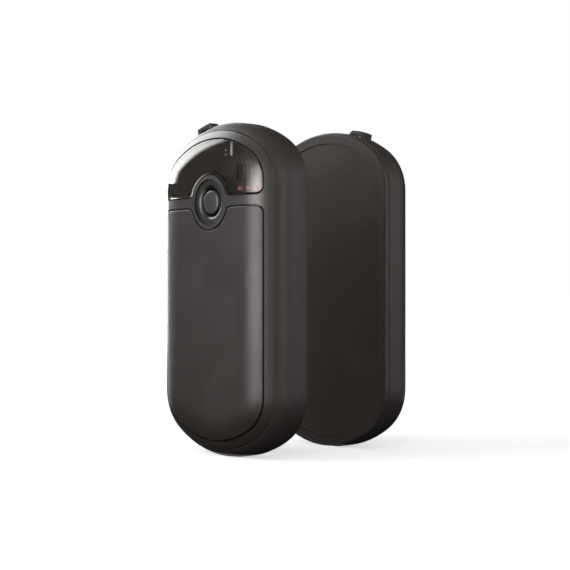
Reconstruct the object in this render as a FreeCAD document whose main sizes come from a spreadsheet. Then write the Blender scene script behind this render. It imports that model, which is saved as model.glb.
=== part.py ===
import FreeCAD, Part
import math
import os
import re

import Sketcher

# A pair of magnetic rechargeable hand warmers, pulled apart along their common axis.
# Both units are the same. Each piece is drawn once, in the frame of one unit: X runs across it,
# Z runs up from its middle, and depth runs from its mating face towards its front, along -Y.
# The pieces are then placed twice: unit 1 faces -Y, and unit 2 is turned half round behind it.

SIZES = {
    # Outline of a unit, seen from the front
    "unit_width": 52.0,
    "unit_height": 95.0,
    "unit_thickness": 14.0,
    "corner_radius": 15.0,
    "end_radius": 35.0,
    "unit_gap": 31.0,
    # Rounding of the front: a wide crown, then a tighter shoulder, which meet at the seam
    "crown_radius": 15.0,
    "shoulder_radius": 6.5,
    "seam_angle": 39.1,
    # Shell
    "shell_wall": 1.8,
    "shell_edge_round": 0.3,
    "seat_depth": 2.0,
    "ledge_width": 2.0,
    "ledge_thickness": 1.5,
    "seam_clearance": 0.12,
    "seam_round": 0.25,
    # Front frame with its crossbar and button ring
    "bezel_width": 2.25,
    "crossbar_width": 2.5,
    "ring_wall": 1.1,
    "opening_corner": 2.4,
    "notch_round": 2.0,
    "inner_round": 0.8,
    "panel_gap": 0.45,
    "panel_land": 2.5,
    "window_land": 1.0,
    "panel_thickness": 1.2,
    "window_thickness": 1.4,
    "panel_edge_round": 0.3,
    # Button and its switch
    "button_drop": 22.9,
    "collar_radius": 6.5,
    "collar_drop": 0.3,
    "collar_back": 1.2,
    "trough_lip": 0.05,
    "trough_lift": 0.25,
    "cap_radius": 3.5,
    "cap_drop": 0.5,
    "cap_round": 0.6,
    "cap_clearance": 0.2,
    "flange_inset": 1.1,
    "cap_flange": 0.8,
    "flange_gap": 0.1,
    "cap_post": 0.2,
    "switch_side": 6.0,
    "switch_floor": 0.1,
    "stem_radius": 1.3,
    "stem_rise": 0.5,
    "stem_room": 0.5,
    "stem_clearance": 0.2,
    # Back cover, its inlay and the magnets behind it
    "cover_edge": 1.5,
    "cover_inset": 0.3,
    "cover_round": 0.6,
    "plug_height": 1.1,
    "plug_clearance": 0.2,
    "rim_width": 3.3,
    "inlay_recess": 0.3,
    "inlay_thickness": 0.7,
    "inlay_clearance": 0.15,
    "magnet_diameter": 10.0,
    "magnet_thickness": 2.0,
    "magnet_gap": 0.3,
    "magnet_clearance": 0.1,
    "magnet_wall": 1.0,
    "magnet_cap": 0.3,
    # Chassis, boards and battery
    "chassis_floor": 0.8,
    "chassis_clearance": 0.3,
    "chassis_hole_clearance": 0.4,
    "post_radius": 1.3,
    "post_inset": 5.2,
    "post_rise": 3.9,
    "rib_thickness": 0.9,
    "rib_height": 3.0,
    "board_thickness": 1.0,
    "board_inset": 4.8,
    "board_clear": 1.6,
    "board_drop": 6.0,
    "battery_side_gap": 0.8,
    "battery_end_gap": 0.5,
    "battery_clearance": 0.3,
    "battery_round": 1.2,
    "battery_lead_gap": 2.0,
    "pad_thickness": 0.5,
    # Charging socket in the bottom end
    "port_land": 9.0,
    "port_recess": 0.3,
    "socket_width": 8.9,
    "socket_height": 3.2,
    "socket_length": 6.0,
    "socket_wall": 0.3,
    "socket_clearance": 0.15,
    "tongue_width": 6.7,
    "tongue_thickness": 0.7,
    "tongue_length": 4.6,
    "port_board_width": 20.0,
    "port_board_thickness": 0.7,
    "port_board_start": 6.3,
    "port_board_end": 13.2,
    # Lanyard bar on the top end
    "lanyard_angle": 15.4,
    "lanyard_length": 6.4,
    "lanyard_width": 3.2,
    "lanyard_offset": 0.7,
    "lanyard_rise": 1.3,
    "lanyard_ramp": 0.8,
    "lanyard_leg": 1.2,
    "lanyard_root": 1.2,
    "lanyard_fit": 0.05,
    "lanyard_round": 0.3,
    "scoop_depth": 1.4,
    "scoop_reach": 0.8,
    "scoop_wall": 1.0,
    # Screws and the bosses that they bite in
    "boss_gap": 0.3,
    "boss_radius": 2.0,
    "boss_overlap": 0.6,
    "boss_board_gap": 0.6,
    "lower_boss_rise": 21.0,
    "screw_radius": 0.9,
    "screw_gap": 1.2,
    "screw_head_radius": 1.7,
    "screw_head": 0.9,
    "screw_clearance": 0.1,
    # Heater, its sensor and the leads
    "film_thickness": 0.25,
    "film_clearance": 0.2,
    "film_top_gap": 0.3,
    "sensor_width": 1.6,
    "sensor_height": 0.8,
    "sensor_thickness": 0.6,
    "sensor_drop": 30.0,
    "insulation_thickness": 2.15,
    "sensor_gap": 0.2,
    "lead_radius": 0.45,
    "lead_clearance": 0.05,
    "lead_bend": 1.0,
    "lead_overlap": 1.6,
    "heater_lead_drop": 1.1,
    "heater_lead_spread": 12.0,
    "battery_lead_spread": 5.0,
    # Charge level lights and the dark tray behind the window
    "tray_thickness": 0.8,
    "tray_clearance": 0.2,
    "tray_leg_radius": 0.8,
    "tray_leg_inset": 2.6,
    "fin_width": 0.6,
    "fin_height": 0.8,
    "fin_spread": 4.6,
    "fin_ring_gap": 0.4,
    "fin_gap": 2.2,
    "led_rise": 1.15,
    "led_side_gap": 1.8,
    "led_ring_gap": 1.1,
    "led_width": 1.6,
    "led_height": 0.8,
    "led_thickness": 0.6,
    "pipe_radius": 0.5,
    "pipe_gap": 0.15,
    "pipe_stand": 0.5,
    "pipe_clearance": 0.1,
    # Packages on the main board
    "chip_side": 5.0,
    "chip_height": 0.9,
    "controller_offset": 11.0,
    "package_gap": 0.3,
    "upper_row": 10.0,
    "coil_side": 5.4,
    "coil_height": 1.1,
    "capacitor_width": 2.0,
    "capacitor_length": 1.2,
    "capacitor_height": 1.0,
    "capacitor_offset": 11.0,
    "capacitor_drop": 1.2,
}
LED_COUNT = 4
FIN_COUNT = 6

FRONT_AXIS = FreeCAD.Rotation(FreeCAD.Vector(1, 0, 0), 90)
SIDE_AXIS = FreeCAD.Rotation(FreeCAD.Vector(0, 1, 0), 90)

# Formulas that several pieces share, in the names of the sizes above
HALF_WIDTH = "(unit_width / 2)"
HALF_HEIGHT = "(unit_height / 2)"
END_CENTRE = f"({HALF_HEIGHT} - end_radius)"
CORNER_X = f"({HALF_WIDTH} - corner_radius)"
CORNER_Z = f"({END_CENTRE} + sqrt((end_radius - corner_radius)^2 - {CORNER_X}^2))"
SEAM_INSET = "(shoulder_radius * (1 - sin(seam_angle)))"
SEAM_DEPTH = "(unit_thickness - crown_radius * (1 - cos(seam_angle)))"
SIDE_DEPTH = f"({SEAM_DEPTH} - shoulder_radius * cos(seam_angle))"
CROWN_REACH = "(shoulder_radius + (crown_radius - shoulder_radius) * sin(seam_angle))"
SEAT = f"({SEAM_DEPTH} - seat_depth)"
LEDGE_BACK = f"({SEAT} - ledge_thickness)"
BEZEL_INSET = f"({SEAM_INSET} + bezel_width)"
INLAY_BACK = "(inlay_recess + inlay_thickness)"
PLUG_TOP = "(cover_edge + plug_height)"
FLOOR_TOP = f"({PLUG_TOP} + chassis_floor)"
# Button, from its collar down to the switch on the board
BUTTON_Z = f"({HALF_HEIGHT} - button_drop)"
RING_RADIUS = "(collar_radius + ring_wall)"
COLLAR_BACK = f"({SEAT} + collar_back)"
FLANGE_FRONT = f"({COLLAR_BACK} - flange_gap)"
FLANGE_BACK = f"({FLANGE_FRONT} - cap_flange)"
STEM_TOP = f"({FLANGE_BACK} - cap_post)"
SWITCH_TOP = f"({STEM_TOP} - stem_rise)"
BOARD_FRONT = f"({SEAT} - board_clear)"
BOARD_BACK = f"({BOARD_FRONT} - board_thickness)"
BOARD_BOTTOM = f"({BUTTON_Z} - board_drop)"
# Charging socket, halfway between the cover and the frame, behind a flat land on the bottom end
LAND_DEPTH = "(end_radius - sqrt(end_radius^2 - (port_land / 2)^2))"
PORT_DEPTH = f"(({PLUG_TOP} + {SEAT}) / 2)"
PORT_BOARD_BACK = f"({PORT_DEPTH} - port_board_thickness / 2)"
SOCKET_MOUTH = f"({LAND_DEPTH} + port_recess - {HALF_HEIGHT})"
SOCKET_END = f"({SOCKET_MOUTH} + socket_length)"
# Magnets, clear of the socket at the bottom and as far in at the top
CUP_RADIUS = "(magnet_diameter / 2 + magnet_clearance + magnet_wall)"
MAGNET_Z = f"(-({SOCKET_END} + magnet_gap + {CUP_RADIUS}))"
MAGNETS = [f"({side} * {MAGNET_Z})" for side in (-1, 1)]
MAGNET_TOP = f"({INLAY_BACK} + magnet_thickness + magnet_cap)"
# Bosses beside the battery and below the board
BOSS_X = f"({HALF_WIDTH} - {SEAM_INSET} - ledge_width - boss_gap - boss_radius)"
BOSSES = [
    (f"{side} * {BOSS_X}", height)
    for side in (-1, 1)
    for height in (
        f"({BOARD_BOTTOM} - boss_board_gap - boss_radius)",
        f"(lower_boss_rise - {HALF_HEIGHT})",
    )
]
# Heater film under the panel, and the battery that fills the room behind it
CLEAR_TOP = f"({BUTTON_Z} - {RING_RADIUS} - panel_land)"
FILM_BACK = "(unit_thickness - panel_thickness - film_thickness)"
INSULATION_FRONT = f"({FILM_BACK} - sensor_thickness - sensor_gap)"
BATTERY_HALF = f"({BOSS_X} - boss_radius - battery_side_gap)"
BATTERY_TOP = f"({CLEAR_TOP} - battery_lead_gap)"
BATTERY_BOTTOM = f"({CUP_RADIUS} + battery_end_gap - {MAGNET_Z})"
BATTERY_BACK = f"({FLOOR_TOP} + pad_thickness)"
BATTERY_FRONT = f"({INSULATION_FRONT} - insulation_thickness)"
LEAD_DEPTH = f"({BOARD_FRONT} + lead_radius + lead_clearance)"
LEAD_END = f"({BOARD_BOTTOM} + lead_overlap)"
# Lights in a row from the button's ring to the window's side, and the tray's fins above them
TRAY_FRONT = f"({SEAT} + tray_thickness)"
LED_Z = f"({BUTTON_Z} + crossbar_width / 2 + window_land + tray_clearance + led_rise)"
LED_BEND = f"max(0; {LED_Z} - {CORNER_Z})"
LED_REACH = f"sqrt((corner_radius - {BEZEL_INSET} - window_land)^2 - {LED_BEND}^2)"
LED_OUTER = f"({CORNER_X} + {LED_REACH} - led_side_gap)"
LED_INNER = f"(sqrt(({RING_RADIUS} + window_land)^2 - ({LED_Z} - {BUTTON_Z})^2) + led_ring_gap)"
LEDS = [
    f"({LED_OUTER} - {step} * ({LED_OUTER} - {LED_INNER}) / {LED_COUNT - 1})" for step in range(LED_COUNT)
]
FIN_OUTER = f"({CORNER_X} + fin_spread)"
FIN_INNER = f"({RING_RADIUS} + fin_ring_gap)"
FINS = [
    f"({FIN_OUTER} - {step} * ({FIN_OUTER} - {FIN_INNER}) / {FIN_COUNT - 1})" for step in range(FIN_COUNT)
]
TRAY_CORNER = f"(corner_radius - {BEZEL_INSET} - window_land - tray_clearance)"
FIN_BOTTOM = f"({LED_Z} + fin_gap)"
FIN_CEILING = f"({CORNER_Z} + sqrt({TRAY_CORNER}^2 - (fin_spread + fin_width / 2)^2))"
FIN_TOP = f"(({FIN_BOTTOM} + 2 * {FIN_CEILING}) / 3)"
LEG_X = f"({FIN_OUTER} - tray_leg_inset)"
LANYARD_DEPTH = f"({SIDE_DEPTH} + lanyard_offset)"

doc = FreeCAD.newDocument("hand_warmer")
sheet = doc.addObject("Spreadsheet::Sheet", "dims")
for row, (alias, size) in enumerate(SIZES.items(), start=1):
    sheet.set(f"A{row}", str(size))
    sheet.setAlias(f"A{row}", alias)
doc.recompute()
probe = doc.addObject("App::FeaturePython", "probe")


def sized(formula):
    """Points the size names of a formula at the sheet's cells."""

    def cell(word):
        return f"dims.{word[0]}" if word[0] in SIZES else word[0]

    return re.sub(r"[a-z]\w*", cell, formula)


def value(formula):
    return float(probe.evalExpression(sized(formula)))


def bind(item, formulas):
    for target, formula in formulas.items():
        item.setExpression(target, sized(formula))


# Sketches and the features made from them


def new_body(name):
    return doc.addObject("PartDesign::Body", name)


def new_sketch(body, name, depth):
    """An empty sketch, parallel to the mating face and this deep in the unit."""
    sketch = body.newObject("Sketcher::SketchObject", name)
    plane = next(item for item in body.Origin.OriginFeatures if item.Role == "XZ_Plane")
    sketch.AttachmentSupport = [(plane, "")]
    sketch.MapMode = "FlatFace"
    bind(sketch, {"AttachmentOffset.Base.z": depth})
    return sketch


def constrain(sketch, kind, *where):
    return sketch.addConstraint(Sketcher.Constraint(kind, *where))


def dimension(sketch, name, formula, kind, *where):
    index = constrain(sketch, kind, *where, value(formula))
    sketch.renameConstraint(index, name)
    bind(sketch, {f"Constraints.{name}": formula})


def arc(x, z, radius, start, end):
    circle = Part.Circle(FreeCAD.Vector(x, z, 0), FreeCAD.Vector(0, 0, 1), radius)
    return Part.ArcOfCircle(circle, start, end)


def line(x0, z0, x1, z1):
    return Part.LineSegment(FreeCAD.Vector(x0, z0, 0), FreeCAD.Vector(x1, z1, 0))


def outline_sketch(body, name, inset, depth):
    """The unit's outline, moved inwards by inset: straight sides, round corners and bowed ends."""
    half_width = f"{HALF_WIDTH} - ({inset})"
    corner = f"corner_radius - ({inset})"
    end = f"end_radius - ({inset})"
    side_x = value(half_width)
    corner_r = value(corner)
    end_r = value(end)
    centre_z = value(END_CENTRE)
    corner_x = value(CORNER_X)
    corner_z = value(CORNER_Z)
    turn = math.atan2(corner_z - centre_z, corner_x)
    sketch = new_sketch(body, name, depth)
    sketch.addGeometry(
        [
            line(side_x, -corner_z, side_x, corner_z),
            arc(corner_x, corner_z, corner_r, 0, turn),
            arc(0, centre_z, end_r, turn, math.pi - turn),
            arc(-corner_x, corner_z, corner_r, math.pi - turn, math.pi),
            line(-side_x, corner_z, -side_x, -corner_z),
            arc(-corner_x, -corner_z, corner_r, math.pi, math.pi + turn),
            arc(0, -centre_z, end_r, math.pi + turn, 2 * math.pi - turn),
            arc(corner_x, -corner_z, corner_r, 2 * math.pi - turn, 2 * math.pi),
        ],
        False,
    )
    right, first_corner, top, _, left, _, bottom, _ = range(8)
    for edge in range(8):
        constrain(sketch, "Tangent", edge, 2, (edge + 1) % 8, 1)
    constrain(sketch, "Vertical", right)
    constrain(sketch, "Vertical", left)
    for other in (3, 5, 7):
        constrain(sketch, "Equal", first_corner, other)
    constrain(sketch, "Equal", top, bottom)
    for end_arc in (top, bottom):
        constrain(sketch, "PointOnObject", end_arc, 3, -2)
    dimension(sketch, "corner", corner, "Radius", first_corner)
    dimension(sketch, "end", end, "Radius", top)
    dimension(sketch, "top_centre", END_CENTRE, "DistanceY", -1, 1, top, 3)
    dimension(sketch, "bottom_centre", END_CENTRE, "DistanceY", bottom, 3, -1, 1)
    dimension(sketch, "right_side", half_width, "DistanceX", -1, 1, right, 1)
    dimension(sketch, "left_side", half_width, "DistanceX", left, 1, -1, 1)
    doc.recompute()
    return sketch


def strip_sketch(body, name, depth, low, high):
    """A rectangle wider than the unit, from one height to another."""
    reach = value("unit_width")
    bottom = value(low)
    top = value(high)
    sketch = new_sketch(body, name, depth)
    sketch.addGeometry(
        [
            line(-reach, bottom, reach, bottom),
            line(reach, bottom, reach, top),
            line(reach, top, -reach, top),
            line(-reach, top, -reach, bottom),
        ],
        False,
    )
    for edge in range(4):
        constrain(sketch, "Coincident", edge, 2, (edge + 1) % 4, 1)
    for edge in (0, 2):
        constrain(sketch, "Horizontal", edge)
        constrain(sketch, "Vertical", edge + 1)
    dimension(sketch, "right_side", "unit_width", "DistanceX", -1, 1, 0, 2)
    dimension(sketch, "left_side", "unit_width", "DistanceX", 0, 1, -1, 1)
    dimension(sketch, "bottom", low, "DistanceY", -1, 1, 0, 1)
    dimension(sketch, "top", high, "DistanceY", -1, 1, 2, 1)
    doc.recompute()
    return sketch


def ring_sketch(body, name, depth, radius):
    """A circle about the button's axis."""
    height = value(BUTTON_Z)
    circle = Part.Circle(FreeCAD.Vector(0, height, 0), FreeCAD.Vector(0, 0, 1), value(radius))
    sketch = new_sketch(body, name, depth)
    sketch.addGeometry(circle, False)
    constrain(sketch, "PointOnObject", 0, 3, -2)
    dimension(sketch, "height", BUTTON_Z, "DistanceY", -1, 1, 0, 3)
    dimension(sketch, "radius", radius, "Radius", 0)
    doc.recompute()
    return sketch


def pad(body, name, sketch, length):
    feature = body.newObject("PartDesign::Pad", name)
    feature.Profile = sketch
    bind(feature, {"Length": length})
    doc.recompute()
    return feature


def pocket(body, name, sketch, length):
    """Cuts from the sketch's depth towards the front."""
    before = body.Shape.Volume
    feature = body.newObject("PartDesign::Pocket", name)
    feature.Profile = sketch
    feature.Reversed = True
    bind(feature, {"Length": length})
    doc.recompute()
    if not body.Shape.Volume < before:
        raise ValueError(f"{name} cut nothing")
    return feature


def fillet(body, name, radius, chosen):
    """Rounds the edges or faces of the body's tip that are named in chosen."""
    base = body.Tip
    feature = body.newObject("PartDesign::Fillet", name)
    feature.Base = (base, chosen)
    bind(feature, {"Radius": radius})
    doc.recompute()
    return feature


def flat_face(body, depth):
    """Names the face of the body's tip that lies flat at this depth."""
    place = -value(depth)
    return [
        f"Face{index}"
        for index, face in enumerate(body.Tip.Shape.Faces, start=1)
        if abs(face.BoundBox.YMin - place) < 1e-6 and abs(face.BoundBox.YMax - place) < 1e-6
    ]


def outline_prism(name, inset, start, end):
    body = new_body(name)
    pad(body, f"{name}_pad", outline_sketch(body, f"{name}_outline", inset, start), f"{end} - {start}")
    return body


def crown(name, drop):
    """A block whose front is the crowned front surface, moved back by drop."""
    body = new_body(name)
    front = f"(unit_thickness - {drop})"
    spread = f"(crown_radius - {CROWN_REACH})"
    base = f"({front} - crown_radius - shell_wall)"
    sketch = outline_sketch(body, f"{name}_outline", f"-{spread}", base)
    pad(body, f"{name}_pad", sketch, f"{front} - {base}")
    fillet(body, f"{name}_roll", "crown_radius", flat_face(body, front))
    return body


def depth_edges(shape, height):
    """Names the straight edges that run along the depth at this height, by their distance from X = 0."""
    found = []
    for index, edge in enumerate(shape.Edges, start=1):
        box = edge.BoundBox
        straight = box.XLength < 1e-6 and box.ZLength < 1e-6
        if straight and abs(box.ZMin - height) < 1e-6:
            found.append((abs(box.XMin), f"Edge{index}"))
    found.sort()
    return [name for _, name in found]


def opening(name, upper, grow, start, end, corner, notch):
    """A filling for the frame's window opening (upper) or panel opening, larger all round by grow."""
    body = new_body(name)
    inset = f"{BEZEL_INSET} - ({grow})"
    length = f"{end} - {start}"
    pad(body, f"{name}_pad", outline_sketch(body, f"{name}_outline", inset, start), length)
    if upper:
        edge = f"({BUTTON_Z} + crossbar_width / 2 - ({grow}))"
        strip = strip_sketch(body, f"{name}_strip", start, "-unit_height", edge)
    else:
        edge = f"({BUTTON_Z} - crossbar_width / 2 + ({grow}))"
        strip = strip_sketch(body, f"{name}_strip", start, edge, "unit_height")
    pocket(body, f"{name}_trim", strip, length)
    ring = ring_sketch(body, f"{name}_ring", start, f"{RING_RADIUS} - ({grow})")
    pocket(body, f"{name}_notch", ring, length)
    fillet(body, f"{name}_corners", corner, depth_edges(body.Tip.Shape, value(edge))[2:])
    fillet(body, f"{name}_shoulders", notch, depth_edges(body.Tip.Shape, value(edge))[:2])
    return body


# Plain solids and the ways to combine them


def cylinder(name, radius, x, z, start, end):
    """A rod along the depth."""
    item = doc.addObject("Part::Cylinder", name)
    item.Placement = FreeCAD.Placement(FreeCAD.Vector(), FRONT_AXIS)
    bind(item, {"Radius": radius, "Height": f"{end} - {start}"})
    bind(item, {"Placement.Base.x": x, "Placement.Base.y": f"-({start})", "Placement.Base.z": z})
    return item


def upright_rod(name, radius, x, depth, low, high):
    item = doc.addObject("Part::Cylinder", name)
    bind(item, {"Radius": radius, "Height": f"{high} - {low}"})
    bind(item, {"Placement.Base.x": x, "Placement.Base.y": f"-({depth})", "Placement.Base.z": low})
    return item


def box(name, left, right, low, high, start, end):
    item = doc.addObject("Part::Box", name)
    bind(item, {"Length": f"{right} - ({left})", "Width": f"{end} - ({start})"})
    bind(item, {"Height": f"{high} - ({low})"})
    bind(item, {"Placement.Base.x": left, "Placement.Base.y": f"-({end})", "Placement.Base.z": low})
    return item


def block(name, width, height, x, z, start, end):
    """A box centred on a point of the front view."""
    left = f"{x} - {width} / 2"
    right = f"{x} + {width} / 2"
    return box(name, left, right, f"{z} - {height} / 2", f"{z} + {height} / 2", start, end)


def combine(kind, name, base, tool):
    item = doc.addObject(kind, name)
    item.Base = base
    item.Tool = tool
    doc.recompute()
    return item


def common(name, base, tool):
    return combine("Part::Common", name, base, tool)


def fuse(name, items):
    item = doc.addObject("Part::MultiFuse", name)
    item.Shapes = items
    item.Refine = True
    doc.recompute()
    return item


def cut(name, base, tools):
    tool = fuse(f"{name}_tools", tools) if len(tools) > 1 else tools[0]
    return combine("Part::Cut", name, base, tool)


def group(name, items):
    item = doc.addObject("Part::Compound", name)
    item.Links = items
    doc.recompute()
    return item


def rounded(name, base, radius, wanted):
    """Rounds the edges of a solid that wanted picks out."""
    item = doc.addObject("Part::Fillet", name)
    item.Base = base
    size = value(radius)
    picked = [index for index, edge in enumerate(base.Shape.Edges, start=1) if wanted(edge)]
    item.Edges = [(index, size, size) for index in picked]
    doc.recompute()
    return item


def stadium(name, width, height, low, high):
    """An upright bar of flat sides and round ends about the charging port's axis."""
    radius = f"({height} / 2)"
    offset = f"({width} / 2 - {radius})"
    ends = [
        upright_rod(f"{name}_end", radius, f"{side} * {offset}", PORT_DEPTH, low, high) for side in (-1, 1)
    ]
    start = f"({PORT_DEPTH} - {radius})"
    middle = box(f"{name}_middle", f"-{offset}", offset, low, high, start, f"({PORT_DEPTH} + {radius})")
    return fuse(name, [*ends, middle])


# Outer pieces


crown_front = crown("crown_front", "0")
crown_panel = crown("crown_panel", "panel_thickness")
crown_window = crown("crown_window", "window_thickness")


def on_end_arc(item):
    """Turns a piece drawn at the middle of the top end to the lanyard's place on the end's arc."""
    item.Placement = FreeCAD.Placement(FreeCAD.Vector(), FreeCAD.Rotation(FreeCAD.Vector(0, 1, 0), 1))
    bind(item, {"Placement.Rotation.Angle": "-lanyard_angle"})
    bind(item, {"Placement.Base.x": f"{END_CENTRE} * sin(lanyard_angle)"})
    bind(item, {"Placement.Base.z": f"{END_CENTRE} * (1 - cos(lanyard_angle))"})
    doc.recompute()
    return item


def end_disc(name, rise, start, end):
    return cylinder(name, f"end_radius + ({rise})", "0", END_CENTRE, start, end)


def end_block(name, half_length, start, end):
    low = f"({HALF_HEIGHT} - end_radius / 4)"
    top = f"({HALF_HEIGHT} + end_radius)"
    return box(name, f"-({half_length})", half_length, low, top, start, end)


def staple(name, fit):
    """The lanyard bar with its two legs, larger all round by fit."""
    start = f"({LANYARD_DEPTH} - lanyard_width / 2 - {fit})"
    end = f"({LANYARD_DEPTH} + lanyard_width / 2 + {fit})"
    half = "lanyard_length / 2"
    outer = common(
        f"{name}_outer",
        end_disc(f"{name}_top", f"lanyard_rise + {fit}", start, end),
        end_block(f"{name}_length", f"{half} + {fit}", start, end),
    )
    eye = common(
        f"{name}_eye",
        end_disc(f"{name}_under", f"-{fit}", start, end),
        end_block(f"{name}_inside", f"{half} - lanyard_leg - {fit}", start, end),
    )
    root = end_disc(f"{name}_root", f"-lanyard_root - {fit}", start, end)
    return cut(f"{name}_staple", outer, [eye, root])


def make_lanyard_bar():
    """An arched bar with a ramp at its inner end."""
    plain = staple("lanyard", "0")
    inner_end = value("lanyard_length / 2")
    shoulder = value(HALF_HEIGHT)

    def inner_top(edge):
        box = edge.BoundBox
        return box.XMin > inner_end - 1e-6 and box.ZMin > shoulder and box.YLength > box.ZLength

    ramp = doc.addObject("Part::Chamfer", "lanyard_ramped")
    ramp.Base = plain
    size = value("lanyard_ramp")
    picked = [index for index, edge in enumerate(plain.Shape.Edges, start=1) if inner_top(edge)]
    ramp.Edges = [(index, size, size) for index in picked]
    doc.recompute()
    bar = rounded("lanyard_bar", ramp, "lanyard_round", lambda edge: edge.BoundBox.ZMin > shoulder)
    return on_end_arc(bar)


def make_main_shell():
    body = new_body("shell_ring")
    front = f"({SIDE_DEPTH} + shoulder_radius)"
    outline = outline_sketch(body, "shell_outline", "0", "cover_edge")
    pad(body, "shell_pad", outline, f"{front} - cover_edge")
    fillet(body, "shell_shoulder", "shoulder_radius", flat_face(body, front))
    fillet(body, "shell_edge", "shell_edge_round", flat_face(body, "cover_edge"))
    cavity = outline_sketch(body, "cavity_outline", "shell_wall", "cover_edge")
    pocket(body, "cavity", cavity, f"{LEDGE_BACK} - cover_edge")
    ledge = outline_sketch(body, "ledge_outline", f"{SEAM_INSET} + ledge_width", "cover_edge")
    pocket(body, "ledge_opening", ledge, "unit_thickness")
    seam = outline_sketch(body, "seam_outline", SEAM_INSET, SEAT)
    pocket(body, "frame_opening", seam, "unit_thickness")
    below = f"(-{HALF_HEIGHT} - shell_wall)"
    port = stadium(
        "port_cut",
        "(socket_width + 2 * socket_clearance)",
        "(socket_height + 2 * socket_clearance)",
        below,
        f"({SOCKET_END} + socket_clearance)",
    )
    land = box(
        "port_land_cut",
        f"-{HALF_WIDTH}",
        HALF_WIDTH,
        below,
        f"({LAND_DEPTH} - {HALF_HEIGHT})",
        "0",
        "unit_thickness",
    )
    scoop = cut(
        "scoop",
        end_block(
            "scoop_block",
            "(lanyard_length / 2 - lanyard_leg)",
            f"({LANYARD_DEPTH} - lanyard_width / 2 - scoop_reach)",
            "unit_thickness",
        ),
        [end_disc("scoop_floor", "-scoop_depth", "0", "unit_thickness")],
    )
    backing_start = f"({FLOOR_TOP} + chassis_clearance)"
    backing = cut(
        "scoop_backing",
        common(
            "scoop_backing_block",
            end_disc("backing_top", "-shell_wall / 2", backing_start, LEDGE_BACK),
            end_block("backing_length", "lanyard_length / 2", backing_start, LEDGE_BACK),
        ),
        [end_disc("backing_floor", "-scoop_depth - scoop_wall", "0", "unit_thickness")],
    )
    backed = fuse("backed_shell", [body, on_end_arc(backing)])
    legs = staple("leg_room", "lanyard_fit")
    return cut("main_shell", backed, [port, land, on_end_arc(scoop), on_end_arc(legs)])


def make_front_frame():
    tall = "(2 * unit_thickness)"
    blank = outline_prism("frame_blank", f"{SEAM_INSET} + seam_clearance", SEAT, tall)
    crowned = common("frame_crowned", blank, crown_front)
    rim_back = -value(f"{SEAM_DEPTH} - seat_depth / 2")
    rim_front = -value(f"{SEAM_DEPTH} + seat_depth / 2")

    def at_seam(edge):
        return edge.BoundBox.YMax < rim_back and edge.BoundBox.YMin > rim_front

    eased = rounded("frame_eased", crowned, "seam_round", at_seam)
    panel_fill = opening("panel_fill", False, "0", SEAT, tall, "opening_corner", "notch_round")
    window_fill = opening("window_fill", True, "0", SEAT, tall, "opening_corner", "notch_round")
    panel_slot = cut("panel_slot", panel_fill, [crown_panel])
    window_slot = cut("window_slot", window_fill, [crown_window])
    panel_hole = outline_prism("panel_hole", f"{BEZEL_INSET} + panel_land", "0", tall)
    strip = strip_sketch(panel_hole, "panel_hole_strip", "0", CLEAR_TOP, "unit_height")
    pocket(panel_hole, "panel_hole_trim", strip, tall)
    window_hole = opening("window_hole", True, "-window_land", "0", tall, "inner_round", "inner_round")
    bore = cylinder("button_bore", "collar_radius", "0", BUTTON_Z, "0", tall)
    open_frame = cut("open_frame", eased, [panel_slot, window_slot, panel_hole, window_hole, bore])
    boss_top = f"({SEAT} + boss_overlap)"
    bosses = [cylinder("frame_boss", "boss_radius", x, z, FLOOR_TOP, boss_top) for x, z in BOSSES]
    pilot_radius = "screw_radius + screw_clearance / 2"
    pilots = [cylinder("boss_pilot", pilot_radius, x, z, "0", SEAT) for x, z in BOSSES]
    return cut("front_frame", fuse("bossed_frame", [open_frame, *bosses]), pilots)


def is_wall(face):
    """True where the face runs along the depth, as the edge of a plate does."""
    low, high, start, end = face.ParameterRange
    return abs(face.normalAt((low + high) / 2, (start + end) / 2).y) < 1e-6


def front_plate(name, upper, inner_crown):
    """A crowned plate that lies in one of the frame's openings, with a gap all round."""
    fill = opening(
        f"{name}_fill",
        upper,
        "-panel_gap",
        SEAT,
        "(2 * unit_thickness)",
        "opening_corner - panel_gap",
        "notch_round - panel_gap",
    )
    plate = cut(f"{name}_plate", common(f"{name}_crowned", fill, crown_front), [inner_crown])
    walls = [face for face in plate.Shape.Faces if is_wall(face)]

    def on_front(edge):
        middle = Part.Vertex(edge.valueAt((edge.FirstParameter + edge.LastParameter) / 2))
        beside = [face for face in walls if face.distToShape(middle)[0] < 1e-4]
        return len(beside) == 1 and middle.distToShape(crown_front.Shape.Shells[0])[0] < 1e-4

    return rounded(name, plate, "panel_edge_round", on_front)


def make_button_collar():
    front = "(unit_thickness - collar_drop)"
    bore_radius = "(cap_radius + cap_clearance)"
    ring = cylinder("collar_ring", "collar_radius", "0", BUTTON_Z, COLLAR_BACK, front)
    bore = cylinder("collar_bore", bore_radius, "0", BUTTON_Z, "0", "(2 * unit_thickness)")
    trough = doc.addObject("Part::Torus", "collar_trough")
    trough.Placement = FreeCAD.Placement(FreeCAD.Vector(), FRONT_AXIS)
    bind(trough, {"Radius1": f"(collar_radius + {bore_radius}) / 2"})
    bind(trough, {"Radius2": f"(collar_radius - {bore_radius}) / 2 + trough_lip"})
    bind(trough, {"Placement.Base.y": f"-({front} + trough_lift)", "Placement.Base.z": BUTTON_Z})
    return cut("button_collar", ring, [bore, trough])


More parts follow.
